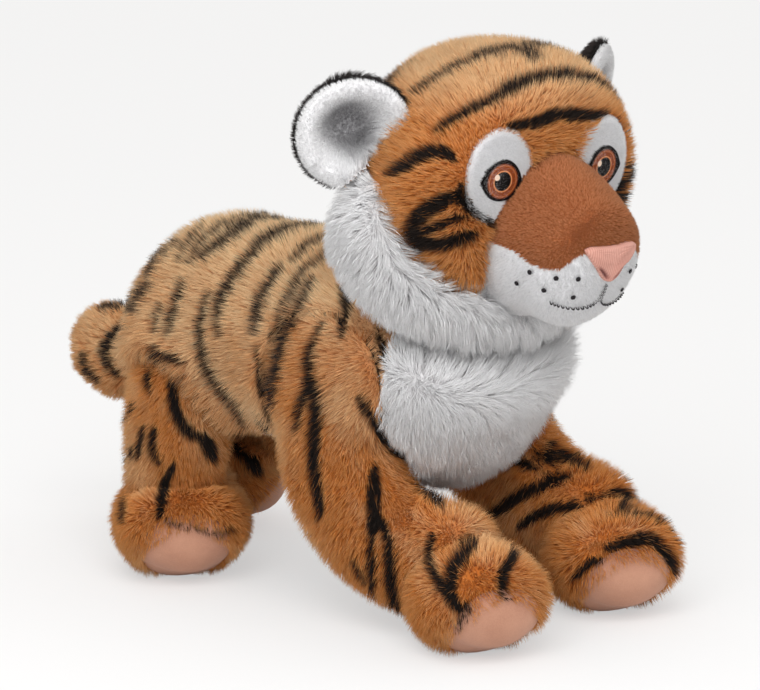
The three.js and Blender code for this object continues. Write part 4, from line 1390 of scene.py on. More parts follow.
# %% Grow the legs
torso_wide = tree_of(torso_form(2))
for k, (name, leg) in enumerate(LEGS.items()):
    place = leg_place(leg)
    parts = [shaft_form(leg, SKIN_UNDER_PILE), paw_form(leg, SKIN_UNDER_PILE + 0.5)]
    front = name.startswith("fore")
    points, faces = melt(parts + [shoulder_form(leg, -3)] * front)
    points[:, 2] = np.maximum(points[:, 2], 0.6)
    points = press_side_flat(points, leg)
    skin = flatten_skin((points, faces))
    roots = roots_on(skin, 58000, 50 + k)
    start, way = pad_seat(leg)
    spots = roots["roots"]
    on_pad = in_oval(spots, start, way, PAD_WIDTH, PAD_LENGTH) < 0.84
    hip_gap = spots - place["hip"]
    flat = np.abs(spots[:, 1]) < SIDE_FLAT + 0.8
    flat &= np.hypot(hip_gap[:, 0], hip_gap[:, 2]) < leg["beside"] * TORSO_HEIGHT - 4
    against = flat & (depth_in(torso_wide, spots) > 0)
    roots = choose_roots(roots, ~on_pad & ~against & (spots[:, 2] >= 1.0))

    def nap(points, place=place, front=front):
        low = fade(-points[:, 2:3], -60, 40)
        down = unit(np.array([0, 0, -1.0]) + low * 0.8 * place["toes"])
        high = fade(points[:, 2:3] - place["hip"][2], -25, 30) * front
        down = down * (1 - high) + np.array([-0.75, 0, -0.5]) * high
        spread = (points - place["hip"]) * (1, 0, 1)
        close = 1 - fade(np.abs(points[:, 1:2]), SIDE_FLAT, 20)
        close = close * (points[:, 2:3] > place["hip"][2] - 8)
        return down * (1 - close) + unit(spread) * close * 0.9

    tips = comb(roots, PILE, nap, lean=0.75, wander=0.27, seed=60 + k, tuft_size=4.0, tuft=0.18)
    strokes = right_stripes_and_shade if leg["side"] < 0 else STRIPES_AND_SHADE[name] + mirrored(
        STRIPES_AND_SHADE[name.replace("left", "right")] + STRIPES_AND_SHADE["torso"] + STRIPES_AND_SHADE["unseen_body"])
    pad_share = in_oval(tips, start, way, PAD_WIDTH, PAD_LENGTH)
    above = (roots["roots"] - start) @ patch_axes(way)[1] > 0.3 * PAD_LENGTH
    trim = np.where(above, 1.0, np.clip((pad_share - 0.58) / 0.3, 0.2, 1))[:, None]
    tips = roots["roots"] + (tips - roots["roots"]) * trim
    nodes = [name.replace("leg_", f"leg_{layer}_") for layer in ("coat", "filling")]
    furry(name, skin, roots, tips, PILE_WIDTH, striped_coat, name, 70 + k, stripes_and_shade=strokes,
          tone_and_painted_light=cream_and_highlight, replaced=nodes, slot="striped_coat", fill=0.85, guard=0.08)

# %% [markdown]
# ## Draped patches
# Pads, eye patches, eyes and the nose are flat cuts of cloth sewn onto a swelling form. A
# sewn patch follows what is under it, so each is made as a disc of rings, dropped onto the
# form along one direction, then raised by a profile: full in the middle, tucked in at its
# edge. A second layer underneath closes it.

# %% Drape a patch
DROP_FROM = 120.0
PATCH_UNDER = 1.5
OVAL_TURNS = 72


def drape(form, start, way, outline, raised, rings=20):
    """A closed patch on a form, within an outline, as high as `raised` says at each place."""
    tree = tree_of(form)
    side, up = patch_axes(way)
    turns = len(outline)
    spots = [(0.0, np.zeros(2))]
    for k in range(1, rings + 1):
        share = 1 - (1 - k / rings) ** 1.3
        spots += [(share, point * share) for point in outline]
    tops, lows, flat = [], [], []
    for share, (u, v) in spots:
        above = start + side * u + up * v + way * DROP_FROM
        hit, normal, _, _ = tree.ray_cast(Vector(above), Vector(-way))
        if hit is None:
            hit, normal, _, _ = tree.find_nearest(Vector(start + side * u + up * v))
        hit, normal = np.array(hit), np.array(normal)
        tops.append(hit + normal * raised(share, u, v))
        lows.append(hit - normal * PATCH_UNDER)
        flat.append((u, v, share))
    count = len(tops)
    faces = []
    for layer, turned in ((0, False), (count, True)):
        for k in range(turns):
            after = (k + 1) % turns
            ring = [(layer, layer + 1 + k, layer + 1 + after)]
            for r in range(rings - 1):
                low, high = layer + 1 + r * turns, layer + 1 + (r + 1) * turns
                ring.append((low + k, high + k, high + after))
                ring.append((low + k, high + after, low + after))
            faces += [face[::-1] if turned else face for face in ring]
    edge = 1 + (rings - 1) * turns
    for k in range(turns):
        after = (k + 1) % turns
        faces.append((edge + k, count + edge + k, count + edge + after))
        faces.append((edge + k, count + edge + after, edge + after))
    flat = np.array(flat + flat)
    return np.array(tops + lows), np.array(faces), flat


def oval(wide, high, power=2.0):
    """Points round an oval; a power over 2 squares it off."""
    angles = np.arange(OVAL_TURNS) / OVAL_TURNS * 2 * math.pi
    c, s = np.cos(angles), np.sin(angles)
    return np.column_stack([
        wide / 2 * np.sign(c) * np.abs(c) ** (2 / power),
        high / 2 * np.sign(s) * np.abs(s) ** (2 / power)])


def patch_mesh(name, points, faces, flat, in_head=False):
    """A patch's mesh, with its flat pattern as UV and as numbers for its material."""
    corners = flat[:, :2][faces]
    span = np.abs(flat[:, :2]).max() * 2.05
    half = np.where(faces[:, :1] >= len(points) // 2, 0.25, -0.25)
    uv = corners / span * 0.49 + 0.5
    uv[..., 0] = uv[..., 0] * 0.5 + 0.25 + half
    values = {"flat_u": flat[:, 0], "flat_v": flat[:, 1], "edge": flat[:, 2]}
    return mesh_from_arrays(name, to_frame(points, in_head), faces, uv, values)


print("an oval has", OVAL_TURNS, "points")

# %% [markdown]
# ## Soles
# The soles are pink suede: a smooth, slightly uneven skin with a fine grain. Where it turns
# in under the pile it is painted a little darker, as painted shade. A picture of suede could
# be laid on; a few layers of noise do as well and need no file. A cushion of filling crowns
# each sole.

# %% Sew on the soles
SOLE_PINK, SOLE_DARK_TONE_AND_SHADE, SOLE_LIGHT = dye(186, 138, 114), dye(152, 104, 82), dye(208, 160, 136)


def suede():
    material, tree, shader = new_material("sole_suede", 0.72, sheen=0.12)
    cloud = ramp(tree, noise(tree, 60.0, 3.0), 0.3, 0.7)
    fine = noise(tree, 1500.0, 3.0, 0.7)
    # painted shade at the sole's edge, where it turns in under the pile
    tucked_shade = ramp(tree, read_number(tree, "edge"), 0.72, 1.0)
    paint = SOLE_PINK
    for share, amount, colour in ((cloud, 0.45, SOLE_DARK_TONE_AND_SHADE), (tucked_shade, 0.6, SOLE_DARK_TONE_AND_SHADE),
                                  (ramp(tree, fine, 0.35, 0.75), 0.3, SOLE_LIGHT)):
        paint = mix(tree, times(tree, share, amount), paint, colour)
    tree.links.new(paint, shader.inputs["Base Color"])
    bumped(tree, shader, fine, strength=0.1, distance=0.0006)
    return material


def cushion(share, u, v):
    """Crowned in the middle, tucked in at its edge, and softly dented."""
    tuck = max(0.0, (share - 0.8) / 0.2)
    dent = 0.5 * math.sin(u * 0.16 + 1) * math.cos(v * 0.13)
    return 1.2 + 1.4 * (1 - share ** 2) - 2.6 * tuck ** 2 + dent


sole_suede = suede()

for name, leg in LEGS.items():
    start, way = pad_seat(leg)
    points, faces, flat = drape(paw_form(leg, -1.5), start, way,
                                oval(PAD_WIDTH, PAD_LENGTH, power=2.3), cushion)
    points[:, 2] = np.maximum(points[:, 2], 0.2)
    pad = name.replace("leg_", "leg_pad_")
    place_piece("sole_" + name, patch_mesh(pad, points, faces, flat), sole_suede, name,
                replaced=(pad,), slot="sole_suede", fill=0.7)

# %% [markdown]
# ## Tail
# The tail is a short stuffed teardrop. A cone with a ball on it would show the join, so it is
# one loft again, thin at its root, which tucks into the rump. Its pile runs on to the tip,
# where the tufts fan out.

# %% Grow the tail
TAIL_LENGTH, TAIL_WIDTH, TAIL_HEIGHT, TAIL_ROOT = 66, 36, 44, 12
TAIL_ROWS = [(0.18, 0.01, 0.34, 0.3), (0.36, 0.02, 0.4, 0.4), (0.62, -0.02, 0.5, 0.5),
             (0.8, 0.02, 0.46, 0.46)]
TAIL_PIVOT = np.array([RUMP + 10, 0.0, TORSO_MIDDLE - 31])


def tail_form(grow):
    spots, girths = [TAIL_PIVOT], [(TAIL_ROOT, TAIL_ROOT)]
    for a, r, w, h in TAIL_ROWS:
        spots.append(TAIL_PIVOT + (-a * TAIL_LENGTH, 0, r * TAIL_HEIGHT))
        girths.append((w * TAIL_WIDTH, h * TAIL_HEIGHT))
    return swell(spots, girths, (TAIL_ROOT, 0.2 * TAIL_LENGTH), grow)


tail_skin = flatten_skin(melt([tail_form(-2.5)]))
roots = roots_on(tail_skin, 26000, 81, tree_of(torso_form(-4)), margin=2.0)
tips = comb(roots, PILE - 1, (-1, 0, -0.1), lean=0.7, wander=0.38, seed=82)
furry("tail", tail_skin, roots, tips, PILE_WIDTH, striped_coat, "tail", 83,
      stripes_and_shade=STRIPES_AND_SHADE["tail"] + mirrored(STRIPES_AND_SHADE["tail"]), tone_and_painted_light=back_cream_and_highlight,
      replaced=("tail_coat", "tail_filling"), slot="striped_coat", fill=0.8)

# %% [markdown]
# ## Head
# The head carries four forms with seams of their own: muzzle, eye patches, ruff and ears.
# First come the places of the eyes and the ruff's form, a bent tube from ear to ear under the
# jaw. It could be a torus, but the real one is thicker under the cheeks than at its ends.

# %% Seat the face
EYE_SPACING, EYE_ABOVE, EYE_SPLAY = 71.9, 11, 0.14
EYE_PATCH = (39, 46)
RUFF_WIDTH, RUFF_DEPTH = 46, 15
RUFF_ROWS = [(0.44, 0.0, -0.08, 0.3, 0.6), (0.5, -0.18, -0.06, 0.46, 0.95),
             (0.4, -0.36, 0.0, 0.5, 1), (0.2, -0.46, 0.1, 0.46, 0.95), (0, -0.49, 0.14, 0.42, 0.9)]
SIDES = {"right": -1, "left": 1}


def eye_seat(side):
    way = unit([HEAD_LENGTH / 2, side * EYE_SPLAY * EYE_SPACING, EYE_ABOVE / 2])
    start = HEAD_MIDDLE + (0, side * (0.5 - EYE_SPLAY) * EYE_SPACING, EYE_ABOVE / 2)
    return start, way


def ruff_form(grow):
    rows = [(-1, row) for row in RUFF_ROWS] + [(1, row) for row in RUFF_ROWS[-2::-1]]
    spots = [HEAD_MIDDLE + (ahead * HEAD_LENGTH, side * out * HEAD_WIDTH, rise * HEAD_HEIGHT)
             for side, (out, rise, ahead, _, _) in rows]
    girths = [(w * RUFF_WIDTH, d * RUFF_DEPTH) for _, (_, _, _, w, d) in rows]
    return swell(spots, girths, (0.5 * RUFF_DEPTH,) * 2, grow, across=(1, 0, 0), rings=60)


print("eyes seated at", [eye_seat(side)[0].round(1).tolist() for side in SIDES.values()])

# %% [markdown]
# The head's coat is two halves with a seam over the crown. Its pile parts round the muzzle
# and runs outward over the brow and the cheeks. It is left out where the muzzle, the eye
# patches and the ruff are sewn on.

# %% Grow the head
UNDER_HEAD = NECK + NECK_AXIS * COLLAR_GAP
SPLIT = -20

head_skin = flatten_skin(melt([cut_flat(head_form(SKIN_UNDER_PILE), UNDER_HEAD, -NECK_AXIS)]))
middles = centres(head_skin)
muzzle_tree = tree_of(muzzle_form(0))
ruff_tree = tree_of(ruff_form(0))
repeated = [stroke for stroke in STRIPES_AND_SHADE["head"] if min(y for _, y, _ in stroke[1]) < SPLIT]
head_stripes_and_shade = STRIPES_AND_SHADE["head"] + mirrored(repeated)
head_stripes_and_shade += STRIPES_AND_SHADE["unseen_head"] + mirrored(STRIPES_AND_SHADE["unseen_head"])


def cheek_nap(points):
    """Away from the nose, but upright beside the muzzle, to hide where it is sewn on."""
    away = unit(points - (np.array([FACE + 10, 0, HEAD_MIDDLE[2] - 20])))
    gap = -depth_in(muzzle_tree, points)[:, None]
    return away * np.clip(gap / 22, -0.35, 1)


def crown_cream_and_highlight(points):
    # paler towards the top of the crown: a painted highlight
    return np.clip(0.12 * cream_and_highlight(points) + 0.6 * fade(points[:, 2], 262, 20), 0, 1)


for name, side in SIDES.items():
    half = part_of(head_skin, middles[:, 1] * side >= 0)
    roots = roots_on(half, COAT_ROOTS, 91 + side, muzzle_tree, ruff_tree, margin=0.5)
    start, way = eye_seat(side)
    on_patch = in_oval(roots["roots"], start, way, *EYE_PATCH) < 0.9
    roots = choose_roots(roots, ~on_patch)
    tips = comb(roots, PILE, cheek_nap, lean=0.9, wander=0.27, seed=93 + side, tuft_size=4.0,
                tuft=0.18)
    furry(f"head_{name}", half, roots, tips, PILE_WIDTH, striped_coat, "head", 95 + side,
          in_head=True, stripes_and_shade=head_stripes_and_shade, tone_and_painted_light=crown_cream_and_highlight, slot="striped_coat", fill=0.9,
          guard=0.08, replaced=("head_coat", "head_filling") if side < 0 else ("head_coat",))

# %% [markdown]
# The ruff is the longest pile of all. It lies over the jaw's edge from ear to ear, and its
# strands hang back and down in pointed locks. Locks could be modelled one by one; combing
# with wide, strong tufts gathers the strands into them without a hand in it.

# %% Grow the ruff
RUFF_PILE, RUFF_WIDTH_OF_STRAND = 13.0, 0.42
ruff_skin = flatten_skin(melt([cut_flat(ruff_form(-4.5), UNDER_HEAD, -NECK_AXIS)]))


def hang_back(points):
    """Back along the cheeks, but straight down under the chin, over the gap to the chest."""
    away = np.sign(points[:, 1:2]) * np.array([[0, 0.15, 0]])
    front = fade(points[:, 0:1], HEAD_MIDDLE[0], 20)
    return unit(np.array([-0.15, 0, -1.0]) + away + front * (0.25, 0, -0.5))


roots = roots_on(ruff_skin, 60000, 101, tree_of(head_form(-3)), muzzle_tree, margin=0.5)
tips = comb(roots, RUFF_PILE, hang_back, lean=0.9, wander=0.4, seed=102, tuft_size=6.0, tuft=0.4,
            length_at=lambda p: 1 + 0.3 * np.clip((p[:, 0] - HEAD_MIDDLE[0]) / 20, -1, 1))
furry("ruff", ruff_skin, roots, tips, RUFF_WIDTH_OF_STRAND, white_plush, "head", 103, in_head=True,
      replaced=("cheek_ruff",), slot="white_plush", fill=0.6)

# %% [markdown]
# ## Muzzle
# The muzzle is cut from nap so short that its weave shows through. The brown bridge dips on
# each side over the white lower muzzle, so the border is a curve, not a straight cut. The two
# could be two forms, but one form cut in two keeps the seam closed. Corners near the border
# are drawn onto it, and the top is pinched a little, as the seams pinch it on the toy.

# %% Sew the muzzle
NAP, NAP_WIDTH = 2.8, 0.46
BORDER_ALONG = [130, 135.9, 143.2, 149, 154.9, 160.5, 164.8, 167.5, 169.5, 172, 177]
BORDER_RISE = [202.5, 201.6, 200.3, 197.2, 195.2, 194.6, 195, 198.6, 201.2, 204.1, 204.5]
PINCH = 0.13


def bridge_edge(x):
    """How high the border between brown and white runs at a place along the muzzle."""
    return np.interp(x, BORDER_ALONG, BORDER_RISE)


muzzle_points, muzzle_faces = melt([muzzle_form(-1.8)], smooth=4, voxel=1.7)
muzzle_points[:, 1] *= 1 - PINCH * fade(muzzle_points[:, 2], 208, 24)
over = muzzle_points[:, 2] - bridge_edge(muzzle_points[:, 0])
muzzle_points[:, 2] -= np.where(np.abs(over) < 0.95, over, 0)
muzzle_skin = flatten_skin((muzzle_points, muzzle_faces))
middles = centres(muzzle_skin)
outside = depth_in(tree_of(head_form(-6)), middles) < 0
brown = middles[:, 2] > bridge_edge(middles[:, 0])
for node, mask, material, slot, seed in (
        ("muzzle_bridge", brown, brown_nap, "brown_nap", 111),
        ("lower_muzzle", ~brown, white_nap, "white_nap", 112)):
    panel = part_of(muzzle_skin, outside & mask)
    roots = roots_on(panel, 36000, seed, tree_of(head_form(-3)), margin=0.5)
    tips = comb(roots, NAP, (-0.6, 0, -0.5), lean=0.6, wander=0.22, seed=seed + 5,
                tuft_size=2.6, tuft=0.3)
    furry(f"{node}_piece", panel, roots, tips, NAP_WIDTH, material, "head", seed + 9,
          in_head=True, guard=0.0, replaced=(node,), slot=slot, fill=0.85)

# %% [markdown]
# ## Eyes
# Each eye is embroidered on a patch of white felt-like nap. The thread lies in rings: cream
# highlight, black pupil, a pale orange ring, a brown iris, and a heavy black outline with a
# pointed outer corner. The rings are drawn from each corner's place on the flat pattern, and
# the satin stitches are a fine ribbed bump that turns round the pupil.

# %% Embroider the eyes
THREADS = {
    "iris": dye(134, 62, 28), "outline": dye(16, 12, 13), "band": dye(206, 128, 78),
    "ring": dye(226, 152, 100), "pupil": dye(14, 11, 12), "glint": dye(250, 226, 206),
}


def inside_of(tree, distance, low, high):
    """1 up to the lower distance, 0 from the higher one on."""
    return math_node(tree, "SUBTRACT", 1.0, ramp(tree, distance, low, high))


def far_from(tree, u, v, x, y, stretch=1.0):
    """Distance on the flat pattern from a point, for the rings of the eye."""
    du = times(tree, math_node(tree, "SUBTRACT", u, x), stretch)
    dv = math_node(tree, "SUBTRACT", v, y)
    square = math_node(tree, "ADD", times(tree, du, du), times(tree, dv, dv))
    return math_node(tree, "SQRT", square)


def thread_eye(name):
    material, tree, shader = new_material(name, 0.5)
    u, v = read_number(tree, "flat_u"), read_number(tree, "flat_v")
    pupil = far_from(tree, u, v, 0.0, 0.2, stretch=0.94)
    angle = math_node(tree, "ARCTAN2", v, u)
    spokes = math_node(tree, "SINE", times(tree, angle, 64.0))
    ragged = math_node(tree, "ADD", pupil, times(tree, spokes, 0.12))
    band = times(tree, ramp(tree, ragged, 7.3, 7.5), inside_of(tree, ragged, 7.7, 7.9))
    paint = mix(tree, ramp(tree, ragged, 8.4, 8.7), THREADS["iris"], THREADS["outline"])
    for share, thread in (
            (times(tree, band, 0.7), "band"),
            (inside_of(tree, ragged, 5.2, 5.4), "ring"),
            (inside_of(tree, ragged, 4.6, 4.8), "pupil"),
            (inside_of(tree, far_from(tree, u, v, -3.6, 2.3), 1.4, 1.6), "glint"),
            (ramp(tree, read_number(tree, "edge"), 0.82, 0.85), "outline")):
        paint = mix(tree, share, paint, THREADS[thread])
    tree.links.new(paint, shader.inputs["Base Color"])
    twist = math_node(tree, "SINE", times(tree, angle, 150.0))
    bumped(tree, shader, twist, strength=0.5, distance=0.0003)
    return material


print("threads:", list(THREADS))

# %% [markdown]
# The eye's outline is an almond with round lids. The felt patch lies flat, with a short
# white nap of its own, and the thread stands on it, heaped up most in the outline. The patch
# is draped on a form 2 mm inside the head's, so that the pile round it stands higher.

# %% Sew on the eyes
EYE_LOWER = 2.0
FELT_SPAN = 52


def almond(side, turns=120):
    """The eye's outline: round lids that meet in a point outside and a lower one inside."""
    angles = np.arange(turns) / turns * 2 * math.pi
    c, s = np.cos(angles), np.sin(angles)
    u = 12.4 * c - 0.9 * np.exp(-((angles - math.pi) / 0.3) ** 2)
    v = np.where(s > 0, 11.0, 10.0) * np.sign(s) * np.abs(s) ** 1.2 - 1.0 * np.clip(c, 0, 1) ** 3
    return np.column_stack([u * -side, v])


def felt_height(share, u, v):
    return 0.9 - 1.8 * max(0.0, (share - 0.9) / 0.1) ** 2


def stitched(share, u, v):
    """Thread heaps up most in the outline."""
    outline = math.exp(-((share - 0.92) / 0.07) ** 2)
    return 2.6 + 0.25 * (1 - share) + 0.3 * outline - 1.8 * max(0.0, (share - 0.96) / 0.04)


def normals_of(points, faces):
    """Each corner's way out, averaged over the faces round it."""
    normals = np.zeros_like(points)
    cross = np.cross(points[faces[:, 1]] - points[faces[:, 0]],
                     points[faces[:, 2]] - points[faces[:, 0]])
    for k in range(3):
        np.add.at(normals, faces[:, k], cross)
    return unit(normals)


for name, side in SIDES.items():
    start, way = eye_seat(side)
    points, faces, flat = drape(head_form(-2), start, way, oval(*EYE_PATCH), felt_height, rings=24)
    skin = {"corners": points, "normals": normals_of(points, faces), "triangles": faces,
            "uv": flat[:, :2][faces] / FELT_SPAN + 0.5}
    upper = part_of(skin, np.arange(len(faces)) < len(faces) // 2 - OVAL_TURNS)
    roots = roots_on(upper, 26000, 121 + side, muzzle_tree, margin=0.0)
    tips = comb(roots, 2.2, (-0.2, 0, -0.6), lean=0.5, wander=0.4, seed=123 + side,
                tuft_size=2.5, tuft=0.2)
    furry(f"felt_{name}", skin, roots, tips, 0.34, white_nap, "head", 125 + side, in_head=True,
          guard=0.0, replaced=(f"eye_patch_{name}",), slot="white_nap")
    points, faces, flat = drape(head_form(-2), start - (0, 0, EYE_LOWER), way, almond(side),
                                stitched, rings=30)
    place_piece(f"embroidered_eye_{name}", patch_mesh("eye", points, faces, flat, in_head=True),
                thread_eye(f"eye_thread_{name}"), "head",
                replaced=(f"eye_{name}",), slot="eye_thread")

# %% [markdown]
# ## Nose
# The nose is a small pink shield of ribbed cloth. A bump would give the ribs from the front,
# but not at the outline, so they are in the mesh, a third of a millimetre high. Each nostril
# is a stitched slit pressed into it. Light and shade are painted on as well: a painted
# highlight on the ribs' crests, and painted shade in their troughs and in the slits.

# %% Sew on the nose
NOSE_WIDTH, NOSE_HEIGHT = 34, 18.5
NOSE_MIDDLE = HEAD_MIDDLE[2] - MUZZLE_DROP - 0.024 * MUZZLE_HEIGHT
RIB = 2 * math.pi / 1.1


def shield(turns=120):
    """The nose's outline: broad and straight on top, drawn to a round point below."""
    half, low = NOSE_WIDTH / 2, NOSE_HEIGHT
    marks = [(-half + 3, 0.2), (0, 0), (half - 3, 0.2), (half - 0.3, -1.4), (half - 2.6, -5.4),
             (half - 7.6, -11.0), (4.0, -low + 1.6), (0, -low), (-4.0, -low + 1.6),
             (-half + 7.6, -11.0), (-half + 2.6, -5.4), (-half + 0.3, -1.4)]
    loop = marks + marks[:1]
    line = np.array([glide(loop, k / turns) for k in range(turns)])
    return line + (0, NOSE_HEIGHT / 2)


def nostril(u, v):
    """How deep a slit is pressed in at a place: one curved slit on each side."""
    along = math.exp(-((v + 3.8) / 3.3) ** 4)
    return along * math.exp(-((abs(u) - v - 9.0) / 1.3) ** 2)


def ribbed(share, u, v):
    tuck = max(0.0, (share - 0.86) / 0.14)
    rib = 0.16 * math.cos(u * RIB)
    return 2.2 + 0.9 * (1 - share ** 2) + rib - 1.9 * nostril(u, v) - 2.6 * tuck ** 2


def nose_material():
    material, tree, shader = new_material("nose_cloth", 0.6, sheen=0.08)
    rib = math_node(tree, "COSINE", times(tree, read_number(tree, "flat_u"), RIB))
    cloud = ramp(tree, noise(tree, 120.0, 3.0), 0.3, 0.7)
    # painted highlight on the ribs' crests and painted shade in their troughs
    paint = mix(tree, ramp(tree, rib, -1.0, 1.0), dye(184, 132, 118), dye(210, 160, 146))
    # painted shade in the nostril slits
    paint = mix(tree, read_number(tree, "nostril_shade"), paint, dye(112, 62, 60))
    paint = mix(tree, times(tree, cloud, 0.25), paint, dye(206, 138, 122))
    tree.links.new(paint, shader.inputs["Base Color"])
    bumped(tree, shader, noise(tree, 1800.0, 2.0), strength=0.3, distance=0.0004)
    return material


points, faces, flat = drape(muzzle_form(0), np.array([FACE - 20, 0.0, NOSE_MIDDLE]),
                            np.array([1.0, 0, 0]), shield(), ribbed, rings=44)
nose_mesh = patch_mesh("nose_patch", points, faces, flat, in_head=True)
# how much painted shade each nostril slit gets
nostril_shade = nose_mesh.attributes.new("nostril_shade", "FLOAT", "POINT")
fill_in(nostril_shade.data, "value", [nostril(u, v) for u, v, _ in flat])
place_piece("ribbed_nose", nose_mesh, nose_material(), "head", replaced=("nose",),
            slot="nose_cloth", fill=0.7)

# %% [markdown]
# ## Whisker dots and mouth
# Six knots of black thread stand on each side of the muzzle, and a running stitch marks the
# mouth. Both could be painted on, but thread stands on the cloth and throws a shadow. A knot
# is a flattened ball with coils round it; a stitch is a short thread that dives into the
# cloth at both ends. Both are found by their nearest point on the muzzle.

# %% Tie knots and stitches
DOTS = [(151.9, 33.1, 191.7), (163.9, 27.1, 190.3), (169.6, 17.7, 189.8),
        (142.4, 32.1, 184.4), (158.1, 29.1, 183.5), (165.6, 16.6, 180)]
MOUTH = [(170.5, 0.4, 186), (169, 0.6, 181), (166.5, 1.4, 176.5), (165, 5, 174),
         (163, 12.2, 173.5), (160.5, 20, 175), (158, 25, 177)]
MOUTH_STITCHES = 18
muzzle_surface = tree_of(muzzle_form(-1.0))


KNOT_SIZE, THREAD, THIN_THREAD = 1.3, 0.42, 0.2
STITCH_LINE = ((0.08, 0.2), (0.25, 1.8), (0.45, 2.1), (0.65, 1.8), (0.82, 0.2))


def on_muzzle(spot, side, lift):
    """The point of the muzzle's cloth next to a spot, lifted off it, and the way out there."""
    near, normal, _, _ = muzzle_surface.find_nearest(Vector((spot[0], spot[1] * side, spot[2])))
    return np.array(near) + np.array(normal) * lift, np.array(normal)


def knot(middle, normal, size, seed):
    """A small knot of thread: a flattened ball with coils round it."""
    rng = np.random.default_rng(seed)
    side, up = patch_axes(normal)
    rows, turns = 9, 18
    points = []
    for r in range(rows + 1):
        tilt = math.pi * r / rows
        for t in range(turns):
            angle = 2 * math.pi * t / turns
            coil = 1 + 0.07 * math.sin(5 * angle + 4 * tilt) + rng.normal(0, 0.02)
            wide = size * math.sin(tilt) * coil
            points.append(middle + side * wide * math.cos(angle) + up * wide * math.sin(angle)
                          + normal * size * 0.45 * math.cos(tilt))
    faces = [(r * turns + t, (r + 1) * turns + t, (r + 1) * turns + (t + 1) % turns,
              r * turns + (t + 1) % turns) for r in range(rows) for t in range(turns)]
    return np.array(points), faces


def stitch(line, thick, sides=8):
    """A thread along a line of points, thinner where it dives in."""
    line = np.array(line)
    rings = []
    for k, point in enumerate(line):
        along = unit(line[min(k + 1, len(line) - 1)] - line[max(k - 1, 0)])
        side, up = patch_axes(along)
        radius = thick * (0.35 + 0.65 * math.sin(math.pi * k / (len(line) - 1)))
        rings += [point + radius * (side * math.cos(a) + up * math.sin(a))
                  for a in np.arange(sides) / sides * 2 * math.pi]
    faces = [(k * sides + s, k * sides + (s + 1) % sides, (k + 1) * sides + (s + 1) % sides,
              (k + 1) * sides + s) for k in range(len(line) - 1) for s in range(sides)]
    faces.append(tuple(range(sides))[::-1])
    faces.append(tuple((len(line) - 1) * sides + s for s in range(sides)))
    return np.array(rings), faces


print("a stitch rises", max(lift for _, lift in STITCH_LINE), "mm off the cloth")

# %% [markdown]
# The thread is black with a fine grey fibre. Each side of the mouth is sewn by itself, down
# from the nose and out along the lip; the few stitches close under the nose are thinner. A
# curve with a bevel would give one long cord, but the real mouth is a row of stitches.

# %% Stitch the muzzle
thread, tree, shader = new_material("black_thread", 0.55)
fibre = ramp(tree, noise(tree, 2500.0, 2.0), 0.3, 0.7)
tree.links.new(mix(tree, fibre, dye(18, 16, 18), dye(52, 48, 50)), shader.inputs["Base Color"])
knots, stitches = [], []
for side in SIDES.values():
    for k, spot in enumerate(DOTS):
        knots.append(knot(*on_muzzle(spot, side, NAP * 0.5), KNOT_SIZE, k))
    for k in range(MOUTH_STITCHES):
        line = []
        for share, lift in STITCH_LINE:
            spot = glide(MOUTH, (k + share) / MOUTH_STITCHES)
            line.append(on_muzzle(spot, side, lift)[0])
        under_nose = spot[2] > 175.5 and spot[1] < 4
        stitches.append(stitch(line, THIN_THREAD if under_nose else THREAD))
for name, forms in (("whisker_knots", knots), ("mouth_stitches", stitches)):
    points, faces = join(forms)
    loose = new_object(name + "_mesh", to_frame(points, True), faces)
    mesh = loose.data
    bpy.data.objects.remove(loose)
    mesh.shade_smooth()
    place_piece(name, mesh, thread, "head", slot="eye_thread")

# %% [markdown]
# ## Ears
# An ear is a cup of two cloths: black plush behind and over the rim, white padded plush
# inside. It could be half a sphere, dented; here each shell is turned like a bowl, in rings
# from the middle to the rim and back, so that the padding is one line of numbers. The part
# that would lie inside the head is left off.

# %% Cup the ears
EAR_RADIUS, EAR_DEPTH, EAR_BACK = 31, 9, 4
EAR_STAND, EAR_SETBACK, EAR_UP, EAR_SHARE = 16, 11, 15.5, 0.455


def ear_seat(side):
    cup = unit([0.8, side * 0.5, -0.16])
    raised = np.array([0.0, side, 1.0])
    out = unit(raised - cup * raised.dot(cup))
    pivot = HEAD_MIDDLE + (-EAR_SETBACK, side * HEAD_WIDTH * EAR_SHARE, EAR_UP)
    return {"cup": cup, "out": out, "third": np.cross(out, cup), "pivot": pivot}


def cup_line(radius):
    return -EAR_DEPTH * (1 - (radius / EAR_RADIUS) ** 2)


def bowl(profile, side, turns=72):
    """A closed shell turned round the cup's axis from a line of (radius, height)."""
    seat = ear_seat(side)
    lift = EAR_DEPTH * (1 - (EAR_STAND / EAR_RADIUS) ** 2) + EAR_BACK / 2
    middle = seat["pivot"] + seat["out"] * EAR_STAND + seat["cup"] * lift
    first, *rings, last = profile
    points = [middle + seat["cup"] * first[1]]
    for radius, height in rings:
        for angle in np.arange(turns) / turns * 2 * math.pi:
            points.append(middle + seat["cup"] * height + radius * (
                seat["out"] * math.cos(angle) + seat["third"] * math.sin(angle)))
    points.append(middle + seat["cup"] * last[1])
    return np.array(points), ring_faces(len(rings), turns)


def ear_profile(bottom, top, reach, steps=14):
    marks = np.arange(steps + 1) / steps
    low = [(m * reach, cup_line(m * reach) + bottom(m)) for m in marks]
    high = [(m * reach, cup_line(m * reach) + top(m)) for m in marks[::-1]]
    return low + high


def facing(form):
    """Turns a form's faces outward."""
    points, faces = form
    volume = sum(np.dot(points[f[0]], np.cross(points[f[k]], points[f[k + 1]]))
                 for f in faces for k in range(1, len(f) - 1))
    return form if volume > 0 else (points, [face[::-1] for face in faces])


print("the hollow of an ear is", round(cup_line(EAR_RADIUS) - cup_line(0) + 5, 1), "mm deep")

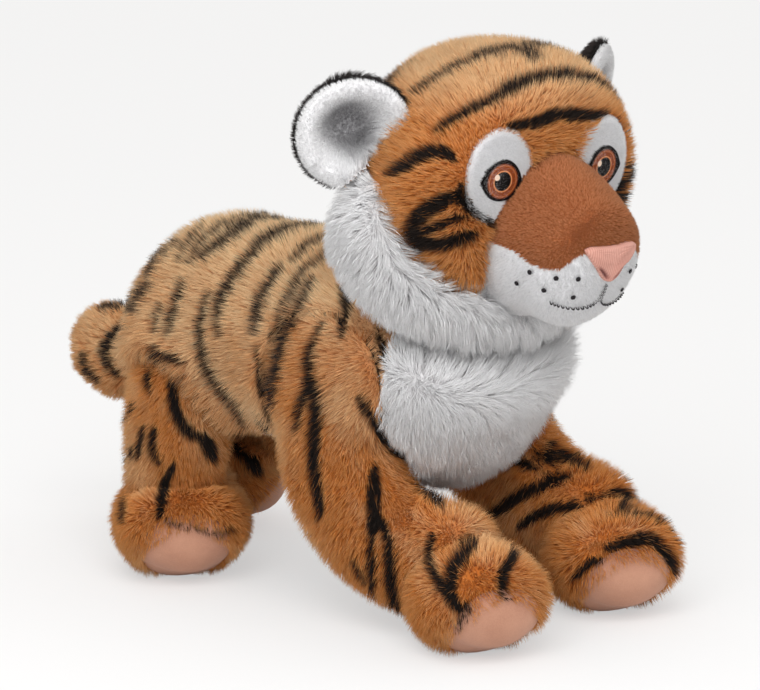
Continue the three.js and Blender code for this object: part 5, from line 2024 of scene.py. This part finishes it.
# %% [markdown]
# The back's pile runs outward, but at the crown, next to the head, it is long and folds
# forward over the rim: that is the black edge one sees from the front. The lining's nap is
# short, and long where it comes up from the ear's root. Little light comes down into the cup;
# a deeper cup would be as dark, but the real one is shallow and shaded, so the shade is
# painted: a grey is mixed in towards its middle.

# %% Brush the ears
EAR_PILE_WIDTH = 0.4


def gap_across(points, seat, stand):
    """How far points lie from the cup's axis, or from one beside it, as vectors."""
    gap = points - (seat["pivot"] + seat["out"] * stand)
    return gap - (gap @ seat["cup"])[:, None] * seat["cup"]


def brushing(side):
    """The nap and the length of an ear's back, the lining's length, and its painted shade."""
    seat = ear_seat(side)
    crown = unit([0.0, -0.75 * side, 1.0])

    def rim_share(points):
        """1 on the rim's black crown, towards the middle of the head, and 0 elsewhere."""
        gap = gap_across(points, seat, EAR_STAND)
        far = np.linalg.norm(gap, axis=1) > EAR_RADIUS * 0.72
        return fade(unit(gap) @ crown, 0.35, 0.3) * far

    def back_nap(points):
        away = unit(points - seat["pivot"] - seat["out"] * 4)
        folded = seat["cup"] * 0.4 + np.array([0, -side, -0.5])
        crowned = rim_share(points)[:, None]
        return away * (1 - crowned) + folded * crowned

    def back_length(points):
        return 1 + 1.1 * rim_share(points)

    def lining_length(points):
        up = (points - seat["pivot"]) @ seat["out"]
        beside = np.abs((points - seat["pivot"]) @ seat["third"])
        return 1 + 3.4 * fade(-up, -15, 12) * fade(-beside, -19, 10)

    def hollow(points):
        # painted shade, strongest in the middle of the cup
        far = np.linalg.norm(gap_across(points, seat, EAR_STAND + 4), axis=1)
        return 0.95 * np.exp(-(far / 13) ** 4)

    return back_nap, back_length, lining_length, hollow


print("the crown's pile is", 1 + 1.1, "times as long as the back's")

# %% [markdown]
# The lining's padding is thin in the hollow, and thick and round towards the rim. A bevel on
# the shell's edge would round it too, but not with a padding that swells. Both shells are
# grown in the same way, each with its own dye, nap and length.

# %% Grow the ears
def rolled_rim(m):
    return 0.7 + 5.2 * math.exp(-((m - 0.8) / 0.2) ** 2)


PROFILES = {
    "ear_back": ear_profile(
        lambda m: -EAR_BACK + 2.5 * m ** 3, lambda m: -0.6 - 0.4 * m, EAR_RADIUS - 2.0),
    "ear_lining": ear_profile(lambda m: 0.3, rolled_rim, EAR_RADIUS * 0.88),
}
head_inside = tree_of(head_form(-3))
for name, side in SIDES.items():
    seat = ear_seat(side)
    back_nap, back_length, lining_length, hollow = brushing(side)
    kinds = (
        ("ear_back", black_plush, "black_plush", 34000, 3.4, back_nap, 2.2, back_length, None),
        ("ear_lining", white_plush, "white_nap", 40000, 2.6, seat["out"], 0.6, lining_length,
         hollow))
    for kind, material, slot, count, long, nap, lean, length_at, tone_and_painted_light in kinds:
        skin = flatten_skin(facing(bowl(PROFILES[kind], side)))
        out = depth_in(head_inside, centres(skin)) < 0
        root_side = (centres(skin) - seat["pivot"]) @ seat["out"] > -2
        skin = part_of(skin, out & root_side)
        roots = roots_on(skin, count, 131 + side + len(kind), head_inside, margin=-0.5)
        front = roots["normals"] @ seat["cup"]
        roots = choose_roots(roots, front < 0.75 if kind == "ear_back" else front > -0.3)
        tips = comb(roots, long, nap, lean=lean, wander=0.3, seed=135 + side, tuft_size=4.0,
                    tuft=0.25, length_at=length_at)
        furry(f"{kind}_{name}_piece", skin, roots, tips, EAR_PILE_WIDTH, material,
              f"ear_{name}", 137 + side, in_head=True, replaced=(f"{kind}_{name}",),
              guard=0.04, tone_and_painted_light=tone_and_painted_light, slot=slot, fill=0.5)

# %% [markdown]
# ## Last look
# A view transform made for films would grey the whites, so the picture keeps plain colours.
# Pile adds a few millimetres all round the frame's box.

# %% Finish
bpy.context.scene.view_settings.view_transform = "Standard"
